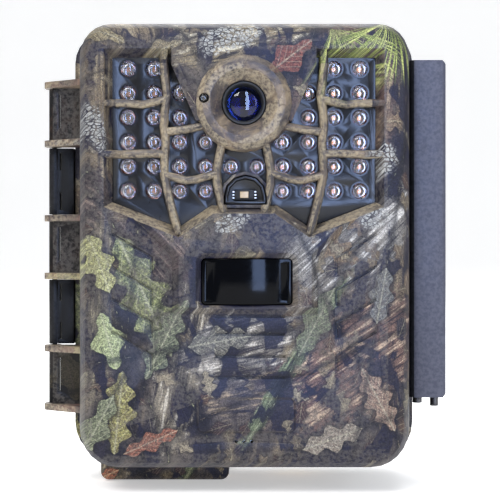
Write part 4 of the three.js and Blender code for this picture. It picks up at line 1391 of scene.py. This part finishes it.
class Finish(Enum):
    """Every finish on the camera."""

    CAMO = PrintedFilm("camo_film")
    GRIP = PrintedFilm("grip_film", shade=(255, 250, 240))
    BARK = BarkFilm("bark_film")
    SURROUND = BarkFilm("surround_film", (140, 124, 104), (86, 78, 74), (42, 39, 46))
    # Painted shade: the knuckle print is multiplied far darker to stand for the shadow that the hinge side lies in.
    KNUCKLE = PrintedFilm("knuckle_film_painted_shade", shade=(72, 62, 68))
    FLANGE = BarkFilm("flange_film", (112, 86, 78), (66, 54, 56), (32, 29, 38))
    BLACK = Plastic("black_moulding", (11, 12, 15), (40, 40, 46), 0.5, dust=0.1, shine=0.2)
    PANEL = Plastic("panel_gloss", (9, 10, 17), (30, 32, 42), 0.32, 1.2, 0.006, 0.25, 0.05, coat=0.15, wave=0.0,
                    shine=0.3)
    LATCH = Plastic("latch_paint", (68, 71, 90), (100, 103, 118), 0.52, 1.6, 0.012, 0.4, 0.02, shine=0.3)
    DARK_GREY = Plastic("grey_moulding", (52, 54, 60), (92, 94, 98), 0.55)
    KEY = Plastic("key_silicone", (64, 66, 72), (104, 106, 110), 0.7, 3.5, 0.03, 0.3, 0.45)
    SWITCH = Plastic("switch_moulding", (150, 152, 156), (186, 186, 186), 0.45)
    RUBBER = Plastic("seal_rubber", (26, 26, 28), (58, 58, 60), 0.78, 3.0, 0.05, 0.2, 0.5)
    CARD = Plastic("card_shell", (30, 42, 70), (92, 98, 112), 0.5)
    CHIP = Plastic("chip_resin", (26, 27, 30), (66, 66, 68), 0.6, 3.5, 0.02, 0.2, 0.25)
    PALE = Plastic("sensor_ceramic", (206, 186, 158), (228, 214, 190), 0.35, 3.0, 0.02, 0.2, 0.1)
    LED_BODY = Clear("led_resin", (236, 238, 246), 0.04, 0.92, 1.5)
    LENS = Clear("lens_glass", (74, 98, 190), 0.02, 1.0, 1.45)
    FILTER = Clear("filter_glass", (140, 206, 214), 0.02)
    WINDOW = Clear("display_window", (214, 222, 216), 0.05, 0.95, 1.49)
    PIR = Plastic("sensor_window_gloss", (2, 3, 7), (16, 18, 26), 0.1, 0.6, 0.002, 0.1, 0.0, wave=0.0, shine=0.1)
    BOARD = Board("board_mask")
    WHITE_BOARD = Board("led_board_mask", (20, 24, 30))
    DISPLAY = Display("display_face")
    STEEL = Metal("bright_steel", (186, 188, 192), (146, 144, 142))
    DARK_STEEL = Metal("blackened_steel", (58, 58, 62), (40, 38, 38), 0.38)
    BRASS = Metal("turned_brass", (196, 158, 84), (150, 112, 60))
    CUP = CupMetal("led_cup")
    AMBER = Metal("led_die", (206, 122, 58), (140, 74, 36), 0.3, (2, 2, 2))
    SOLDER = Metal("solder_tin", (190, 190, 194), (150, 150, 154), 0.32)


MADE: dict[Finish, bpy.types.Material] = {}


def finish(kind: Finish) -> bpy.types.Material:
    """The material of a finish, built when it is first asked for.

    Args:
        kind: Which finish.

    Returns:
        The material.
    """
    if kind not in MADE:
        MADE[kind] = kind.value.material()
    return MADE[kind]


def fitted(name: str, node: str, kind: Finish, body: str, slot: str, width: float,
           segments: int = 2) -> None:
    """Makes a piece of one finish from a CAD node, with its edges rounded, and places it.

    Args:
        name: Name of the new piece.
        node: The CAD node that it is made from and replaces.
        kind: Its finish.
        body: The CAD body it moves with.
        slot: The record's material slot.
        width: Width of the rounding, in mm.
        segments: Steps across the rounding.
    """
    place(dress(refined(name, node, width, segments), finish(kind)), body, slot, node)


# ------------------------------------------------------------------ studio


@dataclass
class Studio:
    """Pale floor and backdrop, soft lights and the camera.

    The floor's height, the camera's numbers and the sweep's radius are in mm, the rest in metres.
    """

    floor: float = -77.6
    distance: float = 430.0
    plane: float = -66.0
    span: float = 155.0
    aim: tuple[float, float] = (1.47, -1.85)
    strip_at: tuple[float, float, float] = (0.085, -0.55, 0.0)
    strip_aim: tuple[float, float, float] = (0.003, -0.07, -0.01)
    strip_size: tuple[float, float] = (0.09, 1.1)
    sheet: float = 6.0
    backdrop: float = 4.0
    sweep: float = 1500.0

    def build(self) -> None:
        """Makes the floor, the lights and the camera."""
        self._floor()
        self._lights()
        self._strip()
        self._camera()

    def _strip(self) -> None:
        """A tall narrow light that draws a cool band on the curved window."""
        lamp = bpy.data.lights.new("strip_box", "AREA")
        lamp.shape = "RECTANGLE"
        lamp.size, lamp.size_y = self.strip_size
        lamp.energy = 6.0
        lamp.color = (0.42, 0.58, 1.0)
        item = bpy.data.objects.new("strip_box", lamp)
        item.location = self.strip_at
        item.rotation_euler = (Vector(self.strip_aim) - item.location).to_track_quat("-Z", "Y").to_euler()
        item.visible_diffuse = False
        bpy.context.scene.collection.objects.link(item)

    def _floor(self) -> None:
        """A pale floor that sweeps up into a backdrop."""
        deselect()
        bpy.ops.mesh.primitive_plane_add(size=self.sheet, location=(0, 0, self.floor * MM))
        floor = settle(bpy.context.object, "studio_floor")
        edit(floor, "EDGE")
        bpy.ops.object.mode_set(mode="OBJECT")
        for edge in floor.data.edges:
            edge.select = all(floor.data.vertices[i].co.y > self.sheet / 2 - 0.1 for i in edge.vertices)
        bpy.ops.object.mode_set(mode="EDIT")
        bpy.ops.mesh.extrude_region_move(TRANSFORM_OT_translate={"value": (0, 0, self.backdrop)})
        leave_edit()
        round_edges(floor, self.sweep, 12, 30)
        smooth(floor, 60)
        on = Surface("studio_paper")
        cloud = on.web.noise(on.where, 0.004, 2.0)
        paper = on.web.mix(cloud, (0.88, 0.88, 0.88, 1), (0.92, 0.92, 0.92, 1))
        on.put(Base_Color=paper, Roughness=0.9, Emission_Color=paper, Emission_Strength=0.45)
        dress(floor, on.material)

    def _lights(self) -> None:
        """Soft boxes to the left, right, above and in front."""
        for name, at, size, power, tint in (
                ("key_box", (-0.5, -0.8, 0.8), 0.45, 9.0, (1.0, 0.98, 0.96)),
                ("fill_box", (0.85, -0.7, 0.3), 0.6, 4.0, (0.9, 0.95, 1.0)),
                ("top_box", (0.0, -0.25, 1.0), 0.6, 6.0, (1.0, 1.0, 1.0)),
                ("back_box", (0.0, 1.1, 0.9), 0.9, 12.0, (1.0, 1.0, 1.0))):
            lamp = bpy.data.lights.new(name, "AREA")
            lamp.shape = "SQUARE"
            lamp.size = size
            lamp.energy = power
            lamp.color = tint
            item = bpy.data.objects.new(name, lamp)
            item.location = at
            item.rotation_euler = (-Vector(at)).to_track_quat("-Z", "Y").to_euler()
            bpy.context.scene.collection.objects.link(item)
        world = bpy.data.worlds.new("studio_air")
        world.use_nodes = True
        world.node_tree.nodes["Background"].inputs["Color"].default_value = (0.95, 0.97, 1.0, 1)
        world.node_tree.nodes["Background"].inputs["Strength"].default_value = 0.42
        bpy.context.scene.world = world
        bpy.context.scene.view_settings.view_transform = "Standard"

    def _camera(self) -> None:
        """A camera square on to the front."""
        lens = bpy.data.cameras.new("camera")
        lens.sensor_width = 36.0
        lens.lens = lens.sensor_width * self.distance / self.span
        lens.clip_start = 0.01
        item = bpy.data.objects.new("camera", lens)
        item.location = mm(self.aim[0], self.plane - self.distance, self.aim[1])
        item.rotation_euler = (math.pi / 2, 0, 0)
        bpy.context.scene.collection.objects.link(item)
        bpy.context.scene.camera = item


# ------------------------------------------------------------------ housing


@dataclass
class FrontHousing:
    """The front half's shell: printed film, bark-coloured ribs and surround, knuckles darkened with painted shade,
    and name pad.
    """

    lens: tuple[float, float] = (-0.4, 43.5)
    surround: float = 15.4
    panel_left: float = -44.0
    panel_right: float = 43.2
    panel_low: float = 2.6
    panel_high: float = 61.0
    ribs: tuple[float, float] = (-69.3, -65.2)
    rounding: float = 0.32
    knuckle_edge: float = -53.2
    flange_edge: float = -52.2
    flange_half: float = 1.25
    flanges: tuple[float, ...] = (51.2, 32.4, 8.4, -10.2, -33.5, -52.3)

    def build(self) -> None:
        """Makes the shell and dresses its regions."""
        shell = refined("front_shell_skin", "front_shell", self.rounding)
        dress(shell, finish(Finish.CAMO), finish(Finish.BARK), finish(Finish.SURROUND), finish(Finish.FLANGE),
              finish(Finish.KNUCKLE))
        paint_faces(shell, 1, self._on_branch)
        paint_faces(shell, 2, self._on_surround, corners=True)
        # Painted shade: faces left of the knuckle edge get the darkened knuckle film.
        paint_faces(shell, 4, lambda middle, normal: middle.x < self.knuckle_edge)
        paint_faces(shell, 3, self._on_flange)
        place(shell, "front_half", "camo_shell", "front_shell")

    def _from_lens(self, middle: Vector) -> float:
        """How far a point lies from the lens axis."""
        return math.hypot(middle.x - self.lens[0], middle.z - self.lens[1])

    def _on_branch(self, middle: Vector, normal: Vector) -> bool:
        """Whether a face belongs to the raised branches over the panel.

        Args:
            middle: The face's middle in mm.
            normal: Its normal.

        Returns:
            True on a branch.
        """
        inside = self.panel_left < middle.x < self.panel_right and self.panel_low < middle.z < self.panel_high
        away = self._from_lens(middle) > self.surround
        on_rib = self.ribs[0] < middle.y < self.ribs[1] and abs(normal.y) < 0.999
        plain_flare = middle.z > 57 or abs(middle.x) > 40.5
        return inside and away and on_rib and not plain_flare

    def _on_surround(self, middle: Vector, normal: Vector) -> bool:
        """Whether a face belongs to the round rim of the lens."""
        return self._from_lens(middle) < self.surround + 0.15 and middle.y < -64.7

    def _on_flange(self, middle: Vector, normal: Vector) -> bool:
        """Whether a face belongs to a knuckle's end plate."""
        near = any(abs(middle.z - plate) < self.flange_half for plate in self.flanges)
        return middle.x < self.flange_edge and near


@dataclass
class RearHousing:
    """The rear half's shell, its bracket, screws, insert, seal, jack and plug."""

    bracket_screws: tuple[str, ...] = ("bracket_screw_1", "bracket_screw_2", "bracket_screw_3", "bracket_screw_4")

    def build(self) -> None:
        """Makes every piece of the rear half that shows from outside."""
        shell = refined("rear_shell_skin", "rear_shell", 0.35)
        dress(shell, finish(Finish.CAMO), finish(Finish.BLACK))
        paint_faces(shell, 1, lambda middle, normal: self._is_inside(middle))
        place(shell, "rear_half", "camo_shell", "rear_shell")
        fitted("tree_bracket_plate", "tree_bracket", Finish.BLACK, "rear_half", "black_plastic", 0.4)
        for node in self.bracket_screws:
            fitted(f"{node}_head", node, Finish.STEEL, "rear_half", "steel", 0.22, 3)
        for node, kind, slot, width in (
                ("tripod_insert", Finish.BRASS, "brass", 0.15), ("power_jack", Finish.BLACK, "black_plastic", 0.12),
                ("rear_knuckle_upper", Finish.BLACK, "black_plastic", 0.2),
                ("rear_knuckle_lower", Finish.BLACK, "black_plastic", 0.2),
                ("hinge_pin", Finish.DARK_STEEL, "steel", 0.15)):
            fitted(f"{node}_form", node, kind, "rear_half", slot, width)
        fitted("jack_plug_form", "jack_plug", Finish.RUBBER, "jack_plug", "gasket_rubber", 0.3)
        dress(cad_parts["door_gasket"], finish(Finish.RUBBER))

    @staticmethod
    def _is_inside(middle: Vector) -> bool:
        """Whether a face lies inside the bay or the pocket.

        Args:
            middle: The face's middle in mm.

        Returns:
            True inside.
        """
        bay = -47.2 < middle.x < -5.6 and -41 < middle.y < -8 and middle.z < 62.5
        pocket = -2 < middle.x < 49.4 and middle.y > -42.8 and -62.2 < middle.z < 61.2
        ledge = abs(middle.y + 42.6) < 0.3
        return bay or (pocket and middle.y < -7.9) or ledge


@dataclass
class Latch:
    """The draw latch: lever, link and pins."""

    painted_shade_edge: float = 53.5

    def build(self) -> None:
        """Makes the lever, the link and their pins."""
        lever = refined("latch_lever_arm", "latch_lever", 0.3)
        dress(lever, finish(Finish.LATCH), finish(Finish.BLACK))
        # Painted shade: the lever's faces that look toward the door, left of the edge, get the black finish to
        # stand for the shadowed gap.
        paint_faces(lever, 1, lambda middle, normal: middle.x < self.painted_shade_edge and normal.x < -0.2)
        place(lever, "lever", "latch_grey", "latch_lever")
        fitted("latch_link_arm", "latch_link", Finish.LATCH, "link", "latch_grey", 0.4)
        for node, body in (("latch_pin_rear", "rear_half"), ("latch_pin_front", "link")):
            fitted(f"{node}_rod", node, Finish.DARK_STEEL, body, "dark_steel", 0.25)


# ------------------------------------------------------------------ night light and sensors


@dataclass
class NightLight:
    """The dark panel with its LED cups, and the LED board behind it."""

    first_x: float = -36.4
    pitch_x: float = 8.0
    top_z: float = 54.6
    pitch_z: float = 7.62
    front: float = -64.3
    board: float = -61.3
    tip: float = -64.95
    clear: dict[int, tuple[int, int]] = field(
        default_factory=lambda: {0: (2, 7), 1: (3, 6), 2: (3, 6), 3: (4, 5), 5: (4, 5)})

    def places(self) -> list[tuple[float, float]]:
        """The middle of every LED, in X and Z.

        Returns:
            The X and Z of each LED in mm.
        """
        found = []
        for row in range(6):
            gap = self.clear.get(row)
            for column in range(10):
                if gap and gap[0] <= column <= gap[1]:
                    continue
                found.append((self.first_x + column * self.pitch_x, self.top_z - row * self.pitch_z))
        return found

    def build(self) -> None:
        """Makes the panel, the cups, the LEDs and the board."""
        fitted("led_panel_plate", "led_panel", Finish.PANEL, "front_half", "panel_black", 0.12)
        self._leds()

    def _leds(self) -> None:
        """One LED of each kind is modelled and copied to every place."""
        at = self.places()
        origin = (0.0, 0.0, 0.0)
        dome = dress(turned("dome", [
            (0, self.tip), (0.8, self.tip + 0.06), (1.5, self.tip + 0.26), (2.0, self.tip + 0.6),
            (2.28, self.tip + 1.05), (2.28, self.tip + 1.4), (1.2, self.tip + 2.5), (0, self.tip + 2.6)],
            origin, Axis.Y, 20), finish(Finish.LED_BODY))
        cup = dress(turned("cup", [
            (2.5, self.front - 0.16), (3.02, self.front - 0.16), (3.02, self.front - 0.02),
            (2.48, self.front + 0.1), (2.48, self.board - 0.1), (0.5, self.board - 0.1), (0.8, self.board - 0.5),
            (1.5, self.front + 1.5), (2.34, self.front + 0.5), (2.4, self.front), (2.5, self.front - 0.16)],
            origin, Axis.Y, 24), finish(Finish.CUP))
        die = dress(turned("die", [(0, -62.1), (0.5, -62.05), (0.62, -61.9), (0.62, -61.6), (0, -61.55)],
                           origin, Axis.Y, 12), finish(Finish.AMBER))
        parts = {"domes": (dome, "led_clear"), "cups": (cup, "steel"), "dies": (die, "brass")}
        for kind, (source, slot) in parts.items():
            copies = [twin(source, f"{kind}_copy", (x, 0, z)) for x, z in at]
            bpy.data.objects.remove(source)
            piece = joined(f"led_{kind}", copies)
            smooth(piece)
            place(piece, "front_half", slot)
            if kind == "cups":
                piece.data.materials.append(finish(Finish.PANEL))
                paint_faces(piece, 1, lambda middle, normal: middle.y < self.front - 0.1)
        board = refined("led_board_plate", "ir_led_board", 0.05)
        self._strip_leds(board)
        dress(board, finish(Finish.WHITE_BOARD))
        place(board, "front_half", "board_green", "ir_led_board")

    def _strip_leds(self, board: bpy.types.Object) -> None:
        """Removes the plain LEDs from the copy of the board, and closes the holes they leave.

        Args:
            board: The board.
        """
        edit(board)
        pick_faces(board, lambda middle, normal: middle.y < self.board - 0.06)
        bpy.ops.mesh.delete(type="FACE")
        bpy.ops.mesh.select_all(action="SELECT")
        bpy.ops.mesh.fill_holes(sides=0)
        bpy.ops.mesh.normals_make_consistent(inside=False)
        leave_edit()


@dataclass
class LensUnit:
    """Lens barrel, its two lenses, the moving filter, the holder and the camera board."""

    x: float = -0.4
    z: float = 43.5

    def build(self) -> None:
        """Makes the optical pieces."""
        fitted("lens_barrel_tube", "lens_barrel", Finish.CHIP, "front_half", "black_plastic", 0.15)
        low, high = extent("front_lens")
        radius = (high.x - low.x) / 2
        glass = dress(turned("front_lens_glass", [
            (0, low.y), (radius * 0.35, low.y + 0.12), (radius * 0.68, low.y + 0.5), (radius * 0.92, low.y + 1.05),
            (radius, low.y + 1.4), (radius, high.y), (radius * 0.5, high.y - 0.35), (0, high.y - 0.5)],
            (self.x, 0, self.z), Axis.Y, 48), finish(Finish.LENS))
        place(glass, "front_half", "lens_glass", "front_lens")
        low, high = extent("rear_lens")
        radius = (high.x - low.x) / 2
        inner = dress(turned("rear_lens_glass", [
            (0, low.y), (radius * 0.6, low.y + 0.3), (radius, low.y + 0.8), (radius, high.y), (0, high.y)],
            (self.x, 0, self.z), Axis.Y, 40), finish(Finish.LENS))
        place(inner, "front_half", "lens_glass", "rear_lens")
        for node, kind, slot in (("lens_holder", Finish.CHIP, "black_plastic"),
                                 ("camera_board", Finish.BOARD, "board_green"),
                                 ("indicator_lamp", Finish.LED_BODY, "sensor_window"),
                                 ("microphone", Finish.STEEL, "steel")):
            fitted(f"{node}_form", node, kind, "front_half", slot, 0.1)
        fitted("ir_filter_slide", "ir_filter", Finish.FILTER, "filter_slide", "filter_glass", 0.08)


@dataclass
class Sensors:
    """The motion sensor's window and can, and the light sensor in its arch."""

    def build(self) -> None:
        """Makes the sensor pieces."""
        window = dress(refined("pir_window_lens", "pir_window", 0.3, 3), finish(Finish.PIR))
        smooth(window, 50)
        place(window, "front_half", "sensor_window", "pir_window")
        can = dress(refined("pir_sensor_can", "pir_sensor", 0.2), finish(Finish.STEEL), finish(Finish.BOARD))
        place(can, "front_half", "steel", "pir_sensor")
        fitted("light_sensor_arch", "light_sensor_cup", Finish.PANEL, "front_half", "sensor_window", 0.2)
        eye = dress(refined("light_sensor_eye", "light_sensor", 0.12, 3), finish(Finish.CHIP), finish(Finish.PALE))
        paint_faces(eye, 1, lambda middle, normal: middle.y < -65.1)
        place(eye, "front_half", "sensor_pale", "light_sensor")
        self._sensor_pins()

    @staticmethod
    def _sensor_pins() -> None:
        """Bright solder feet at both ends of the light sensor."""
        low, high = extent("light_sensor")
        feet = []
        for x in (low.x - 0.25, high.x + 0.25):
            for share in (0.2, 0.5, 0.8):
                z = low.z + (high.z - low.z) * share
                foot = block("foot", (x - 0.45, high.y - 0.75, z - 0.22), (x + 0.45, high.y - 0.3, z + 0.22))
                round_edges(foot, 0.12, 2)
                feet.append(foot)
        pins = dress(joined("light_sensor_feet", feet), finish(Finish.SOLDER))
        smooth(pins)
        place(pins, "front_half", "steel")


# ------------------------------------------------------------------ inside


@dataclass
class Controls:
    """The control panel in the rear half: display, keys, switch, card and boards."""

    keys: tuple[str, ...] = ("key_ok", "key_up", "key_down", "key_left", "key_right")

    def build(self) -> None:
        """Makes the pieces that the open door shows."""
        fitted("control_panel_plate", "control_panel", Finish.DARK_GREY, "rear_half", "dark_grey_plastic", 0.2)
        for node in self.keys:
            fitted(f"{node}_cap", node, Finish.KEY, node, "key_grey", 0.35, 3)
        fitted("power_switch_knob", "power_switch", Finish.SWITCH, "power_switch", "switch_grey", 0.25)
        fitted("memory_card_shell", "memory_card", Finish.CARD, "memory_card", "card_blue", 0.12)
        for node, kind, slot in (
                ("lcd_window", Finish.WINDOW, "lcd_glass"), ("lcd_module", Finish.DISPLAY, "lcd_grey"),
                ("card_socket", Finish.STEEL, "steel"), ("main_board", Finish.BOARD, "board_green"),
                ("terminal_board", Finish.BOARD, "board_green")):
            fitted(f"{node}_form", node, kind, "rear_half", slot, 0.1)


@dataclass
class InnerCover:
    """The cover over the inside of the front half, with its four screws."""

    screws: tuple[str, ...] = ("cover_screw_1", "cover_screw_2", "cover_screw_3", "cover_screw_4")

    def build(self) -> None:
        """Makes the cover and its screws."""
        fitted("inner_cover_plate", "inner_cover", Finish.DARK_GREY, "front_half", "dark_grey_plastic", 0.3)
        for node in self.screws:
            fitted(f"{node}_head", node, Finish.STEEL, "front_half", "steel", 0.22, 3)


@dataclass
class BatteryTray:
    """The tray with its grip cap, contacts and eight cells."""

    cells: int = 8
    grip_top: float = -69.6
    grip_front: tuple[float, float] = (-39.0, -66.0)

    def build(self) -> None:
        """Makes the tray, the contacts and the cells."""
        tray = refined("battery_tray_frame", "battery_tray", 0.3)
        dress(tray, finish(Finish.GRIP), finish(Finish.BLACK))
        paint_faces(tray, 1, lambda middle, normal: middle.z > self.grip_top and not (
            middle.y < self.grip_front[0] and middle.z < self.grip_front[1]))
        place(tray, "tray", "black_plastic", "battery_tray")
        fitted("tray_contacts_plate", "tray_contacts", Finish.STEEL, "tray", "steel", 0.05)
        for number in range(1, self.cells + 1):
            self._cell(number)

    @staticmethod
    def _cell(number: int) -> None:
        """One cell: a sleeve with rolled ends, and its nub, on the way up that the CAD gives.

        Args:
            number: Which cell, from 1.
        """
        node = f"battery_{number}"
        low, high = extent(node)
        centre = ((low.x + high.x) / 2, (low.y + high.y) / 2, 0)
        radius = (high.x - low.x) / 2
        bottom, top = low.z, high.z
        sleeve = turned(f"cell_{number}_sleeve", [
            (0, bottom + 0.25), (radius * 0.72, bottom + 0.25), (radius * 0.78, bottom), (radius * 0.93, bottom),
            (radius, bottom + 0.35), (radius, top - 1.9), (radius * 0.94, top - 1.35), (radius * 0.8, top - 1.25),
            (radius * 0.76, top - 1.45), (radius * 0.4, top - 1.45), (radius * 0.38, top - 0.2),
            (radius * 0.3, top), (0, top)], centre, Axis.Z, 32)
        wrap = CellWrap(f"cell_{number}_sleeve_film", top - 15, top - 1.6).material()
        dress(sleeve, wrap, finish(Finish.STEEL))
        paint_faces(sleeve, 1, lambda middle, normal: math.hypot(
            middle.x - centre[0], middle.y - centre[1]) < radius * 0.79)
        place(sleeve, "tray", "cell_wrap", node)


def main() -> None:
    """Builds the camera and its studio."""
    logging.basicConfig(level=logging.INFO, format="%(name)s: %(message)s")
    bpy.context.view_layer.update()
    Studio().build()
    for part in (FrontHousing(), RearHousing(), Latch(), NightLight(), LensUnit(), Sensors(), Controls(),
                 InnerCover(), BatteryTray()):
        LOG.info("building %s", type(part).__name__)
        part.build()
    deselect()


if __name__ == "__main__":
    main()
